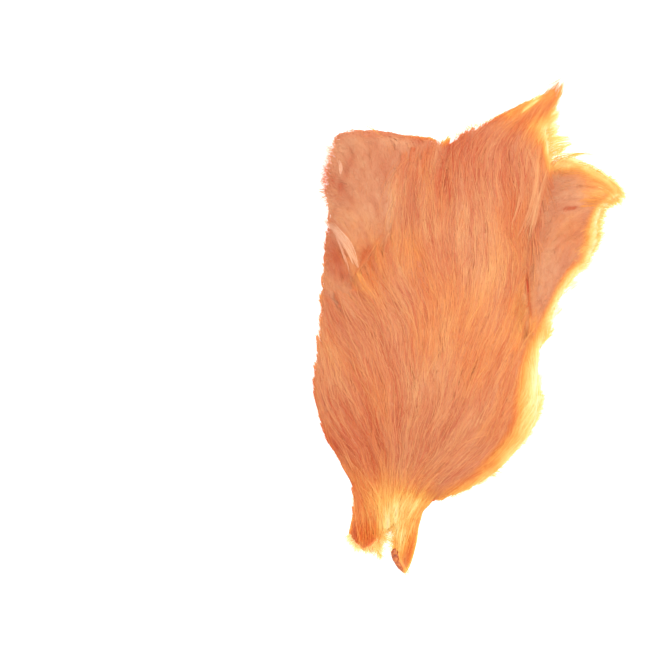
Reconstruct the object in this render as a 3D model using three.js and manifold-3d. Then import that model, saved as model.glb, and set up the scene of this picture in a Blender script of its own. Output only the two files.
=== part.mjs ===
// A dyed rooster cape: the neck and shoulder skin of a cock, dried flat with its feathers on.
// It is one grown piece: a low pile of feathers on a flat skin, with combed locks fused to it.
// Millimetres. X runs across the cape, Y from the two head strips to the long hackle tips.

import * as THREE from "three";
import { mergeVertices } from "three/addons/utils/BufferGeometryUtils.js";
import Module from "manifold-3d";

const hackleHeight = 20; // thickest part of the pile, over the middle of the cape
const shoulderHeight = 14; // soft pad on each side of the hackles
const stripHeight = 5; // bare dried skin beside the head
const domePower = 2.1; // how flat the middle of a region is, against how fast its edges fall
const pileColumns = 10; // faces across a region
const lockRidge = 1.7; // ridge of a lock over the pile round it
const lockSink = 0.9; // depth of a lock's two sides under that pile
const lockSlimness = 0.4; // widest a lock may be, as a share of its length
const shortestLock = 9;
const rootScatter = 6; // how far the lock roots stray along the cape
const tipOvershoot = 3; // how far a lock runs past the edge of the pile
const wispHeight = 1.3; // height at which a wisp lies beyond the edge of the pile
const skinClearance = 0.2; // lowest point of a lock over the floor
const combReach = 11; // distance over which a combing guide turns the feathers round it
const combStep = 1.5; // step along a feather while it follows the comb

// Each region is a list of rows [y, left x, right x, share of the region's height].
// Where two regions lie side by side, each runs some way under the other.
const regions = {
  hackles: {
    height: hackleHeight,
    edgeShare: 0.14,
    rows: [
      [-93, -51, -25, 0.18],
      [-86, -52, -21.5, 0.27],
      [-79, -52, -16, 0.38],
      [-71, -52, 3, 0.5],
      [-62, -57.5, 14.5, 0.64],
      [-52, -63.5, 25, 0.78],
      [-41, -67.5, 30.5, 0.9],
      [-25, -70.2, 31, 0.98],
      [-11, -68.5, 32, 1],
      [2, -67.5, 31, 1],
      [12, -67, 31, 1],
      [24, -58, 31, 0.99],
      [36, -48, 32, 0.94],
      [50, -40, 35, 0.86],
      [64, -34, 38, 0.77],
      [74, -25, 38, 0.68],
      [82, -10, 37, 0.58],
      [91, 7, 36, 0.46],
      [98, 20, 39, 0.36],
      [105, 34.5, 41.7, 0.25],
      [112, 42.4, 43.2, 0.12],
    ],
  },
  leftShoulder: {
    height: shoulderHeight,
    edgeShare: 0.22,
    rows: [
      [10, -67, -55, 0.5],
      [22, -66, -40, 0.8],
      [36, -65, -29, 0.95],
      [50, -63.5, -22, 1],
      [62, -65, -15, 1],
      [72, -63.5, -10, 0.95],
      [81, -59.5, -11.5, 0.8],
      [85, -57, -18, 0.6],
      [88, -51, -42, 0.3],
    ],
  },
  rightShoulder: {
    height: shoulderHeight,
    edgeShare: 0.2,
    rows: [
      [-10, 26, 30.5, 0.5],
      [0, 18, 35.2, 0.85],
      [14, 18, 42, 1],
      [28, 19, 52, 1],
      [43, 23, 57, 0.95],
      [52, 27, 60, 0.85],
      [59, 31, 69.5, 0.7],
      [65.5, 34, 65, 0.55],
      [71, 37, 57, 0.4],
      [76, 42, 46, 0.3],
    ],
  },
  leftStrip: {
    height: stripHeight,
    edgeShare: 0.5,
    rows: [
      [-105, -40, -38.6, 0.3],
      [-101, -52, -38.4, 0.55],
      [-95, -54.6, -37.4, 0.8],
      [-86, -52, -36, 1],
      [-76, -50, -36, 1],
    ],
  },
  rightStrip: {
    height: stripHeight,
    edgeShare: 0.5,
    rows: [
      [-112.2, -29, -27.6, 0.4],
      [-107, -33, -25.6, 0.7],
      [-101, -34.6, -24.2, 0.9],
      [-93, -33.6, -22.4, 1],
      [-85, -36, -21, 1],
      [-76, -36, -18, 1],
    ],
  },
};

// Combing guides [x, y, degrees from +X]: the way that the feathers lie round each point.
const guides = {
  hackles: [
    [-46, -84, 98], [-32, -86, 88], [-24, -84, 74],
    [-52, -66, 128], [-38, -67, 110], [-22, -68, 70], [-6, -67, 46], [7, -66, 36],
    [-60, -50, 122], [-40, -50, 112], [-22, -50, 74], [-4, -50, 58], [12, -50, 48], [26, -46, 52],
    [-62, -26, 108], [-38, -28, 92], [-20, -28, 72], [-2, -28, 68], [14, -28, 64], [29, -24, 76],
    [-58, -4, 112], [-38, -4, 108], [-20, -4, 96], [-4, -4, 78], [12, -4, 66], [28, -4, 84],
    [-56, 16, 120], [-38, 16, 122], [-20, 16, 102], [-4, 16, 86], [12, 16, 78], [28, 16, 94],
    [-38, 36, 108], [-22, 38, 100], [-6, 38, 104], [12, 38, 86], [28, 38, 78],
    [-26, 60, 86], [-8, 60, 102], [10, 60, 98], [28, 60, 82],
    [-10, 76, 82], [6, 78, 90], [24, 78, 86],
    [0, 89, 44], [14, 94, 33], [27, 100, 32], [38, 108, 58], [32, 90, 60],
  ],
  leftShoulder: [
    [-58, 22, 118], [-46, 34, 104], [-58, 40, 134], [-62, 56, 168], [-46, 54, 100], [-32, 54, 84],
    [-60, 72, 158], [-44, 74, 108], [-28, 74, 82], [-54, 84, 128], [-20, 80, 66],
  ],
  rightShoulder: [
    [30, -4, 76], [32, 16, 72], [42, 14, 66], [35, 34, 70], [46, 32, 60], [44, 50, 38],
    [54, 46, 26], [44, 66, 14], [58, 62, -8], [54, 72, -22], [66, 60, -32],
  ],
};

// The locks of each region: rows from one share of its length to another, places in a row over a
// share of its width, and a lock's length and width.
const lockPlans = {
  hackles: { rows: 9, places: 6, length: 44, width: 12, from: 0.03, to: 0.9, spread: 0.88 },
  leftShoulder: { rows: 3, places: 3, length: 22, width: 11, from: 0.2, to: 0.8, spread: 0.7 },
  rightShoulder: { rows: 4, places: 2, length: 24, width: 10, from: 0.12, to: 0.78, spread: 0.6 },
};

// A lock's width and ridge, as shares of its widest and highest, at shares of its length.
const lockStations = [
  { along: 0, width: 0.3, ridge: 0.1 },
  { along: 0.22, width: 0.85, ridge: 0.8 },
  { along: 0.48, width: 1, ridge: 1 },
  { along: 0.76, width: 0.7, ridge: 0.9 },
];
const tipRidge = 0.35;

// Wisps that stand out of the edge: root, bend and tip as [x, y], and width.
const wisps = [
  { root: [20, 92], bend: [37, 100], tip: [43.8, 112.2], width: 6 },
  { root: [31, 87], bend: [38, 94], tip: [42.5, 94.5], width: 5 },
  { root: [33, 80], bend: [40, 84], tip: [49, 84], width: 5 },
  { root: [37, 72], bend: [48, 79.5], tip: [61, 76], width: 2.4 },
  { root: [52, 67], bend: [65, 65], tip: [70.2, 58.4], width: 6 },
  { root: [50, 55], bend: [62, 58], tip: [70, 50.6], width: 4 },
  { root: [44, 21], bend: [51, 27], tip: [55.6, 26], width: 5 },
  { root: [18, -50], bend: [33, -44], tip: [33.6, -28.8], width: 7 },
  { root: [-56, 61], bend: [-62, 64], tip: [-67.5, 64.5], width: 4 },
  { root: [-54, 73], bend: [-60, 77], tip: [-65.5, 77.5], width: 4 },
  { root: [-52, 20], bend: [-55, 40], tip: [-68.8, 49.6], width: 5.5 },
  { root: [-38, 82], bend: [-42, 88], tip: [-50, 92.4], width: 2.4 },
  { root: [-48, -92], bend: [-50, -98], tip: [-51.5, -103], width: 6 },
  { root: [-45, -94], bend: [-45.5, -99], tip: [-45.2, -105], width: 6 },
  { root: [-40, -96], bend: [-41, -102], tip: [-42.5, -106], width: 5 },
];

const wasm = await Module();
wasm.setup();

// The row of a region at any y, between the rows of its list, or nothing beyond its ends.
function rowAt(region, y) {
  const above = region.rows.findIndex((row) => row[0] > y);
  if (above < 1) return null;
  const low = region.rows[above - 1];
  const high = region.rows[above];
  const t = (y - low[0]) / (high[0] - low[0]);
  const [left, right, share] = [1, 2, 3].map((k) => THREE.MathUtils.lerp(low[k], high[k], t));
  return { left, right, share };
}

// Height across a row: full in the middle, falling to the edge's share at both sides.
function domeHeight(region, share, across) {
  const dome = 1 - Math.abs(across) ** domePower;
  return region.height * share * THREE.MathUtils.lerp(region.edgeShare, 1, dome);
}

function regionHeight(region, x, y) {
  const row = rowAt(region, y);
  if (!row || x < row.left || x > row.right) return 0;
  const across = (2 * x - row.left - row.right) / (row.right - row.left);
  return domeHeight(region, row.share, across);
}

function pileHeight(x, y) {
  return Math.max(...Object.values(regions).map((region) => regionHeight(region, x, y)));
}

// Direction in which the feathers lie at a point: the mean of the guides, nearest ones first.
function combDirection(regionGuides, point) {
  const direction = new THREE.Vector2();
  for (const [x, y, degrees] of regionGuides) {
    const away = point.distanceToSquared(new THREE.Vector2(x, y));
    const angle = THREE.MathUtils.degToRad(degrees);
    const turn = new THREE.Vector2(Math.cos(angle), Math.sin(angle));
    direction.addScaledVector(turn, Math.exp(-away / (2 * combReach ** 2)));
  }
  return direction.normalize();
}

// A repeatable scatter between 0 and 1 for one place of one row.
function scatter(row, place) {
  const wave = Math.sin(row * 12.9898 + place * 78.233) * 43758.5453;
  return wave - Math.floor(wave);
}

// Turns a closed list of triangles into a solid that can be joined.
function toSolid(triangles) {
  const geometry = new THREE.BufferGeometry();
  geometry.setAttribute("position", new THREE.Float32BufferAttribute(triangles.flat(2), 3));
  const merged = mergeVertices(geometry);
  return new wasm.Manifold(new wasm.Mesh({
    numProp: 3,
    vertProperties: merged.attributes.position.array,
    triVerts: Uint32Array.from(merged.index.array),
  }));
}

function quad(a, b, c, d) {
  return [[a, b, c], [a, c, d]];
}

// The points of one row of a pile: its domed top, and its two corners on the floor.
function pileRow(region, [y, left, right, share]) {
  const top = [];
  for (let i = 0; i <= pileColumns; i++) {
    const across = -Math.cos((Math.PI * i) / pileColumns);
    const x = THREE.MathUtils.lerp(left, right, (across + 1) / 2);
    top.push([x, y, domeHeight(region, share, across)]);
  }
  return { top, left: [left, y, 0], right: [right, y, 0] };
}

// The upright wall that closes the last row of a pile.
function endWall(row) {
  const wall = [];
  for (let i = 0; i < pileColumns; i++) {
    wall.push([row.left, row.top[i], row.top[i + 1]]);
  }
  wall.push([row.left, row.top[pileColumns], row.right]);
  return wall;
}

// One region as a low closed pile: a domed top over a flat underside.
function pileSolid(region) {
  const rows = region.rows.map((row) => pileRow(region, row));
  const triangles = [];
  for (let j = 0; j + 1 < rows.length; j++) {
    const near = rows[j];
    const far = rows[j + 1];
    for (let i = 0; i < pileColumns; i++) {
      triangles.push(...quad(near.top[i], near.top[i + 1], far.top[i + 1], far.top[i]));
    }
    triangles.push(...quad(near.left, near.top[0], far.top[0], far.left));
    triangles.push(...quad(near.top[pileColumns], near.right, far.right, far.top[pileColumns]));
    triangles.push(...quad(near.right, near.left, far.left, far.right));
  }
  triangles.push(...endWall(rows[0]).map(([a, b, c]) => [a, c, b]));
  triangles.push(...endWall(rows[rows.length - 1]));
  return toSolid(triangles);
}

// The path of a lock: it follows the comb from its root, and stops soon after it leaves the pile.
function combedPath(regionGuides, root, length) {
  const path = [root];
  let spare = tipOvershoot;
  for (let done = 0; done < length && spare > 0; done += combStep) {
    const last = path[path.length - 1];
    const next = last.clone().addScaledVector(combDirection(regionGuides, last), combStep);
    if (pileHeight(next.x, next.y) === 0) spare -= combStep;
    path.push(next);
  }
  return path;
}

// The point at a share of a path's length.
function pointAlong(path, share) {
  const place = THREE.MathUtils.clamp(share, 0, 1) * (path.length - 1);
  const index = Math.min(Math.floor(place), path.length - 2);
  return path[index].clone().lerp(path[index + 1], place - index);
}

function restingHeight(point) {
  return Math.max(pileHeight(point.x, point.y), wispHeight);
}

// Five corners of a lock at one station: two sides sunk in the pile, their feet, and the ridge.
function lockSection(path, width, { along, width: widthShare, ridge }) {
  const centre = pointAlong(path, along);
  const ahead = pointAlong(path, along + 0.05).sub(pointAlong(path, along - 0.05)).normalize();
  const side = new THREE.Vector2(-ahead.y, ahead.x).multiplyScalar((widthShare * width) / 2);
  const left = centre.clone().add(side);
  const right = centre.clone().sub(side);
  return [
    [left.x, left.y, restingHeight(left) - lockSink],
    [left.x, left.y, skinClearance],
    [right.x, right.y, skinClearance],
    [right.x, right.y, restingHeight(right) - lockSink],
    [centre.x, centre.y, restingHeight(centre) + ridge * lockRidge],
  ];
}

// A lock: a blade along a path, ridged on top, closed down to the skin and pointed at its tip.
function lockSolid(path, width) {
  const sections = lockStations.map((station) => lockSection(path, width, station));
  const end = pointAlong(path, 1);
  const tip = [end.x, end.y, restingHeight(end) + tipRidge * lockRidge];
  const foot = [end.x, end.y, skinClearance];
  const triangles = [];
  for (let k = 0; k + 1 < sections.length; k++) {
    const [near, far] = [sections[k], sections[k + 1]];
    for (let i = 0; i < near.length; i++) {
      const j = (i + 1) % near.length;
      triangles.push(...quad(near[j], near[i], far[i], far[j]));
    }
  }
  const [rootLeft, rootLeftFoot, rootRightFoot, rootRight, rootRidge] = sections[0];
  triangles.push([rootLeft, rootRight, rootRidge]);
  triangles.push(...quad(rootLeft, rootLeftFoot, rootRightFoot, rootRight));
  const [left, leftFoot, rightFoot, right, ridge] = sections[sections.length - 1];
  triangles.push([ridge, tip, left], [right, tip, ridge], [leftFoot, foot, rightFoot]);
  triangles.push(...quad(left, tip, foot, leftFoot), ...quad(rightFoot, foot, tip, right));
  return toSolid(triangles);
}

// The locks of a region, on a staggered grid, each with a length and width of its own.
function regionLocks([name, plan]) {
  const region = regions[name];
  const nearEnd = region.rows[0][0];
  const farEnd = region.rows[region.rows.length - 1][0];
  const solids = [];
  for (let j = 0; j < plan.rows; j++) {
    const along = THREE.MathUtils.lerp(plan.from, plan.to, j / (plan.rows - 1));
    const y = THREE.MathUtils.lerp(nearEnd, farEnd, along);
    const row = rowAt(region, y);
    const places = plan.places - (j % 2);
    for (let i = 0; i < places; i++) {
      const across = plan.spread * ((i + 0.5) / places - 0.5) + 0.5;
      const x = THREE.MathUtils.lerp(row.left, row.right, across);
      const root = new THREE.Vector2(x, y + rootScatter * (scatter(j, i) - 0.5));
      const size = 0.8 + 0.4 * scatter(i + 3, j + 7);
      const path = combedPath(guides[name], root, size * plan.length);
      const length = (path.length - 1) * combStep;
      const width = Math.min(size * plan.width, lockSlimness * length);
      if (length > shortestLock) solids.push(lockSolid(path, width));
    }
  }
  return solids;
}

function wispSolid(wisp) {
  const [root, bend, tip] = [wisp.root, wisp.bend, wisp.tip].map((p) => new THREE.Vector2(...p));
  const curve = new THREE.QuadraticBezierCurve(root, bend, tip);
  return lockSolid(curve.getPoints(16), wisp.width);
}

// All the piles, locks and wisps joined into the one solid of the cape.
function capeGeometry() {
  const piles = Object.values(regions).map(pileSolid);
  const locks = Object.entries(lockPlans).flatMap(regionLocks);
  const joined = [...piles, ...locks, ...wisps.map(wispSolid)].reduce((a, b) => a.add(b));
  const { vertProperties, triVerts } = joined.getMesh();
  const geometry = new THREE.BufferGeometry();
  geometry.setAttribute("position", new THREE.BufferAttribute(vertProperties, 3));
  geometry.setIndex(new THREE.BufferAttribute(triVerts, 1));
  return geometry;
}

const plumage = new THREE.MeshStandardMaterial({ color: 0xee9660, roughness: 0.85, metalness: 0 });
const cape = new THREE.Mesh(capeGeometry(), plumage);
cape.name = "cape";

const group = new THREE.Group();
group.add(cape);

export default group;
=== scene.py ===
import math

import bpy
import numpy as np
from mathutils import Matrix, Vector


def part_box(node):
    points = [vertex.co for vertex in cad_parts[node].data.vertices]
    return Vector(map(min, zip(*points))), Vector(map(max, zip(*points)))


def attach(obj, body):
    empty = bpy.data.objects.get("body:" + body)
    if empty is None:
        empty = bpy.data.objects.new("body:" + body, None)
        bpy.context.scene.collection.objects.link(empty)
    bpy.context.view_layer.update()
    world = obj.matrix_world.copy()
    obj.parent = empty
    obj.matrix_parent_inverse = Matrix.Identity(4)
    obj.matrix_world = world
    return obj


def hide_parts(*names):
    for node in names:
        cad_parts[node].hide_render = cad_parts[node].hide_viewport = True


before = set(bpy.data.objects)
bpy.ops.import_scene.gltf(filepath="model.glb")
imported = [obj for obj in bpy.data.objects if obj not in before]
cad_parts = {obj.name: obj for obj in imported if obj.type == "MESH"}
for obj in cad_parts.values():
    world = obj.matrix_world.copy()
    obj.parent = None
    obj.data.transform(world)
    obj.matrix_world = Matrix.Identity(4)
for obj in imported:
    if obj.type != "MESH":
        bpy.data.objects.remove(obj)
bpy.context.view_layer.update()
capeLow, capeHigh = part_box("cape")
print("frame loaded, cape", [round(1000 * (b - a), 1) for a, b in zip(capeLow, capeHigh)], "mm")

mm = 0.001  # the cape's tables are in millimetres, and its meshes are made in metres
random = np.random.default_rng(7)

# The cape's regions, as in the source of its solid: rows [y, left x, right x, share of the height].
regions = {
    "hackles": {
        "height": 20,
        "edgeShare": 0.14,
        "rows": [
            [-93, -51, -25, 0.18], [-86, -52, -21.5, 0.27], [-79, -52, -16, 0.38], [-71, -52, 3, 0.5],
            [-62, -57.5, 14.5, 0.64], [-52, -63.5, 25, 0.78], [-41, -67.5, 30.5, 0.9],
            [-25, -70.2, 31, 0.98], [-11, -68.5, 32, 1], [2, -67.5, 31, 1], [12, -67, 31, 1],
            [24, -58, 31, 0.99], [36, -48, 32, 0.94], [50, -40, 35, 0.86], [64, -34, 38, 0.77],
            [74, -25, 38, 0.68], [82, -10, 37, 0.58], [91, 7, 36, 0.46], [98, 20, 39, 0.36],
            [105, 34.5, 41.7, 0.25], [112, 42.4, 43.2, 0.12],
        ],
    },
    "leftShoulder": {
        "height": 14,
        "edgeShare": 0.22,
        "rows": [
            [10, -67, -55, 0.5], [22, -66, -40, 0.8], [36, -65, -29, 0.95], [50, -63.5, -22, 1],
            [62, -65, -15, 1], [72, -63.5, -10, 0.95], [81, -59.5, -11.5, 0.8], [85, -57, -18, 0.6],
            [88, -51, -42, 0.3],
        ],
    },
    "rightShoulder": {
        "height": 14,
        "edgeShare": 0.2,
        "rows": [
            [-10, 26, 30.5, 0.5], [0, 18, 35.2, 0.85], [14, 18, 42, 1], [28, 19, 52, 1],
            [43, 23, 57, 0.95], [52, 27, 60, 0.85], [59, 31, 69.5, 0.7], [65.5, 34, 65, 0.55],
            [71, 37, 57, 0.4], [76, 42, 46, 0.3],
        ],
    },
    "leftStrip": {
        "height": 5,
        "edgeShare": 0.5,
        "rows": [
            [-105, -40, -38.6, 0.3], [-101, -52, -38.4, 0.55], [-95, -54.6, -37.4, 0.8],
            [-86, -52, -36, 1], [-76, -50, -36, 1],
        ],
    },
    "rightStrip": {
        "height": 5,
        "edgeShare": 0.5,
        "rows": [
            [-112.2, -29, -27.6, 0.4], [-107, -33, -25.6, 0.7], [-101, -34.6, -24.2, 0.9],
            [-93, -33.6, -22.4, 1], [-85, -36, -21, 1], [-76, -36, -18, 1],
        ],
    },
}
domePower = 2.1  # how flat the middle of a region is, against how fast its edges fall

# Combing guides [x, y, degrees from +X]: the way that the feathers lie round each point.
guides = {
    "hackles": [
        [-46, -84, 98], [-32, -86, 88], [-24, -84, 74],
        [-17, -79, 40], [-8, -75, 32], [3, -69, 30], [12, -63, 36],
        [-52, -66, 128], [-38, -67, 110], [-22, -68, 70], [-6, -64, 46], [7, -60, 40],
        [-60, -50, 122], [-40, -50, 112], [-22, -50, 74], [-4, -50, 58], [12, -50, 48], [26, -46, 56],
        [-62, -26, 108], [-38, -28, 92], [-20, -28, 72], [-2, -28, 68], [14, -28, 64], [29, -24, 76],
        [-58, -4, 112], [-38, -4, 108], [-20, -4, 96], [-4, -4, 78], [12, -4, 66], [28, -4, 84],
        [-56, 16, 120], [-38, 16, 122], [-20, 16, 102], [-4, 16, 86], [12, 16, 78], [28, 16, 94],
        [-38, 36, 96], [-30, 48, 82], [-20, 40, 98], [-6, 38, 104], [12, 38, 86], [28, 38, 78],
        [-26, 62, 74], [-14, 62, 92], [-4, 60, 100], [10, 60, 98], [28, 60, 82],
        [-10, 76, 82], [6, 78, 90], [24, 78, 86],
        [0, 89, 44], [14, 94, 33], [27, 100, 32], [38, 108, 58], [32, 90, 60],
    ],
    "leftShoulder": [
        [-58, 22, 118], [-46, 34, 104], [-58, 40, 134], [-62, 56, 168], [-46, 54, 100], [-32, 54, 84],
        [-60, 72, 158], [-44, 74, 108], [-28, 74, 82], [-54, 84, 128], [-20, 80, 66],
    ],
    "rightShoulder": [
        [30, -4, 76], [32, 16, 72], [42, 14, 66], [35, 34, 70], [46, 32, 60], [44, 50, 38],
        [54, 46, 26], [44, 66, 14], [58, 62, -8], [54, 72, -22], [66, 60, -32],
    ],
}
combReach = 11  # distance over which a combing guide turns the feathers round it

# The grid on which heights, edges and combing are worked out once, to be read between its points.
field = {"step": 0.5, "low": (-82, -124), "high": (82, 124)}
fieldX, fieldY = np.meshgrid(
    np.arange(field["low"][0], field["high"][0], field["step"]),
    np.arange(field["low"][1], field["high"][1], field["step"]),
)


def lerp(a, b, share):  # a at share 0, b at share 1
    return a + (b - a) * share


def between(low, high, shape):  # evenly random numbers from low to high
    return lerp(low, high, random.random(shape))


def softStep(value, start, end):  # 0 before start, 1 after end, with an even S between
    t = np.clip((value - start) / (end - start), 0, 1)
    return t * t * (3 - 2 * t)


def read(values, x, y):  # a field at any point: the mean of its four nearest grid points, by nearness
    column = np.clip((x - field["low"][0]) / field["step"], 0, values.shape[1] - 1.001)
    row = np.clip((y - field["low"][1]) / field["step"], 0, values.shape[0] - 1.001)
    i = column.astype(int)
    j = row.astype(int)
    across = column - i
    up = row - j
    near = lerp(values[j, i], values[j, i + 1], across)
    far = lerp(values[j + 1, i], values[j + 1, i + 1], across)
    return lerp(near, far, up)


def readAlong(values, paths):  # a field at all the points of paths
    return read(values, paths[..., 0], paths[..., 1])


def inRange(values, low, high):  # past low and short of high
    return (values > low) & (values < high)


def blurred(values, radius):  # each point shares with its neighbours until the spread is the radius
    for _ in range(math.ceil(1.5 * (radius / field["step"]) ** 2)):
        values = (values + np.roll(values, 1, 0) + np.roll(values, -1, 0)) / 3
        values = (values + np.roll(values, 1, 1) + np.roll(values, -1, 1)) / 3
    return values


def edgesAt(name, y):  # left edge, right edge and share of a region at y, straight between its rows
    rows = np.array(regions[name]["rows"])
    return [np.interp(y, rows[:, 0], rows[:, k]) for k in (1, 2, 3)]


# A place is [x, y, reach, amount], and its amount fades out over its reach.
# A stroke is [start x, start y, end x, end y, reach, amount], and fades out to both sides.
bellShare = 0.6  # how wide such a fading bell is, as a share of its reach


def placed(places, x, y):  # sum of the amounts, each fading as a bell over its reach
    total = np.zeros_like(x)
    for placeX, placeY, reach, amount in places:
        total += amount * np.exp(-((x - placeX) ** 2 + (y - placeY) ** 2) / (2 * (bellShare * reach) ** 2))
    return total


def stroked(strokes, x, y):  # sum of the amounts, each fading as a bell with the distance from its line
    total = np.zeros_like(x)
    for startX, startY, endX, endY, reach, amount in strokes:
        runX = endX - startX
        runY = endY - startY
        share = np.clip(((x - startX) * runX + (y - startY) * runY) / (runX**2 + runY**2), 0, 1)
        away = (x - startX - share * runX) ** 2 + (y - startY - share * runY) ** 2
        total += amount * np.exp(-away / (2 * (bellShare * reach) ** 2))
    return total


# Height of a region: its share times a dome, full in the middle and falling to the edge's share.
def regionHeight(name, x, y):
    rows = regions[name]["rows"]
    left, right, share = edgesAt(name, y)
    across = (2 * x - left - right) / (right - left)
    dome = 1 - np.abs(np.clip(across, -1, 1)) ** domePower
    height = regions[name]["height"] * share * lerp(regions[name]["edgeShare"], 1, dome)
    inside = (np.abs(across) <= 1) & (y >= rows[0][0]) & (y <= rows[-1][0])
    return np.where(inside, height, 0)


# Direction of the comb: the mean of the guides as arrows, each weighted by its nearness.
def combField(name):
    alongX = np.zeros_like(fieldX)
    alongY = np.zeros_like(fieldX)
    for x, y, degrees in guides[name]:
        weight = np.exp(-((fieldX - x) ** 2 + (fieldY - y) ** 2) / (2 * combReach**2)) + 1e-12
        alongX += weight * math.cos(math.radians(degrees))
        alongY += weight * math.sin(math.radians(degrees))
    length = np.hypot(alongX, alongY)
    return alongX / length, alongY / length


# The comb turned a little this way and that, by a smooth scatter of the given grain.
def wandering(comb, grain, degrees):
    scatter = blurred(random.standard_normal(fieldX.shape), grain)
    turn = math.radians(degrees) * scatter / scatter.std()
    alongX = comb[0] * np.cos(turn) - comb[1] * np.sin(turn)
    alongY = comb[0] * np.sin(turn) + comb[1] * np.cos(turn)
    return alongX, alongY


# Signed distance to the edge of a mask: to its nearest border point, plus inside and minus outside.
def edgeDistance(inside):
    beside = [np.roll(inside, step, axis) for step in (1, -1) for axis in (0, 1)]
    border = inside & ~np.logical_and.reduce(beside)
    borderX = fieldX[border]
    borderY = fieldY[border]
    distance = np.full(fieldX.shape, 1e9)
    batch = 16  # border points met at a time
    for k in range(0, len(borderX), batch):
        awayX = fieldX[..., None] - borderX[k : k + batch]
        awayY = fieldY[..., None] - borderY[k : k + batch]
        distance = np.minimum(distance, (awayX**2 + awayY**2).min(-1))
    return np.sqrt(distance) * np.where(inside, 1, -1)


# Streaks that follow the comb: the mean of a scatter met along the feathers' way, ahead and behind.
def combedStreaks(comb, grain, reach):
    scatter = blurred(random.standard_normal(fieldX.shape), grain)
    total = scatter.copy()
    stride = 1.0
    for way in (stride, -stride):
        x = fieldX.copy()
        y = fieldY.copy()
        for _ in range(int(reach / stride)):
            stepX = read(comb[0], x, y)
            stepY = read(comb[1], x, y)
            x = x + way * stepX
            y = y + way * stepY
            total += read(scatter, x, y)
    return (total - total.mean()) / total.std()


heights = {name: regionHeight(name, fieldX, fieldY) for name in regions}
pile = np.maximum.reduce(list(heights.values()))

# Loose feathers that stand out past the skin, in millimetres, at places and along strokes.
looseEdge = {
    "places": [
        [-58.5, 84, 6, 2.6], [-12, 84, 8, 2.2], [1, 87, 6, 1.6], [56, 38, 9, 2.8], [52, 29, 6, 1.6],
        [33, -34, 8, 3.0], [35.5, -4, 7, 4.2],
    ],
    "strokes": [
        [-12, -78, 12, -64, 5, 2.2], [12, -64, 29, -46, 5, 1.4], [-30, 86.5, -17, 85.5, 4, -0.9],
    ],
}
wanders = [(5.5, 5), (2.2, 4)]  # how the comb strays, coarse and then fine: grain, and turn in degrees


def strayingComb(name):  # the guides' comb, turned by each of the wanders
    comb = combField(name)
    for grain, degrees in wanders:
        comb = wandering(comb, grain, degrees)
    return comb


combs = {name: strayingComb(name) for name in guides}
edge = edgeDistance(pile > 0)
growth = placed(looseEdge["places"], fieldX, fieldY) + stroked(looseEdge["strokes"], fieldX, fieldY)
edge = edge + growth

# The hackles lie over both shoulders, up to a seam on each side, given as x at y.
seams = {
    "leftY": [11, 19.6, 28, 36.7, 43, 55, 68, 76, 80, 82.5, 86],
    "leftX": [-74, -52.4, -47.5, -41.6, -35.5, -32.5, -31.6, -30, -25, -18, -12],
    "rightY": [-6, 2, 12, 24, 36, 48, 63, 71.5, 77, 80],
    "rightX": [60, 28, 26, 25.5, 27, 30.8, 34, 36, 40, 60],
    "top": 112.5,  # nothing above this counts as hackles
}
seamLeft = np.interp(fieldY, seams["leftY"], seams["leftX"])
seamRight = np.interp(fieldY, seams["rightY"], seams["rightX"])
intoHackles = np.minimum(fieldX - seamLeft, seamRight - fieldX)
intoHackles = np.where(fieldY > seams["top"], -4, intoHackles)  # clearly outside


def flowAlong(axis):  # the comb that shows: the hackles' on the hackles, else the nearer shoulder's
    shoulders = np.where(fieldX < 0, combs["leftShoulder"][axis], combs["rightShoulder"][axis])
    return np.where(intoHackles > 0, combs["hackles"][axis], shoulders)


flow = (flowAlong(0), flowAlong(1))
# Streaks along the comb, each set with its grain and how far it is drawn out to both sides.
locks = combedStreaks(flow, 1.7, 22)
streaks = combedStreaks(flow, 0.55, 9)
patches = combedStreaks(flow, 4.0, 14)
pileTop = {
    "smooth": 1.6,  # radius over which the regions' heights run into each other
    "least": 0.8,  # lowest height at which a feather lies
    "relief": 0.45,  # how far a lock stands out of the hackles
    "downRelief": 0.25,  # and out of the down
    "fullFrom": 6,  # distance from the edge at which it stands out in full
}


def smoothTop(height):  # heights that run into each other, none lower than the least
    return np.maximum(blurred(height, pileTop["smooth"]), pileTop["least"])


def lockedTop(height, relief):  # the smooth top, with the locks standing out more away from the edge
    return smoothTop(height) + relief * np.clip(locks, -2, 2) * np.clip(edge / pileTop["fullFrom"], 0, 1)


plainTop = smoothTop(pile)
bedTop = lockedTop(pile, pileTop["relief"])
print("fields ready")

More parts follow.
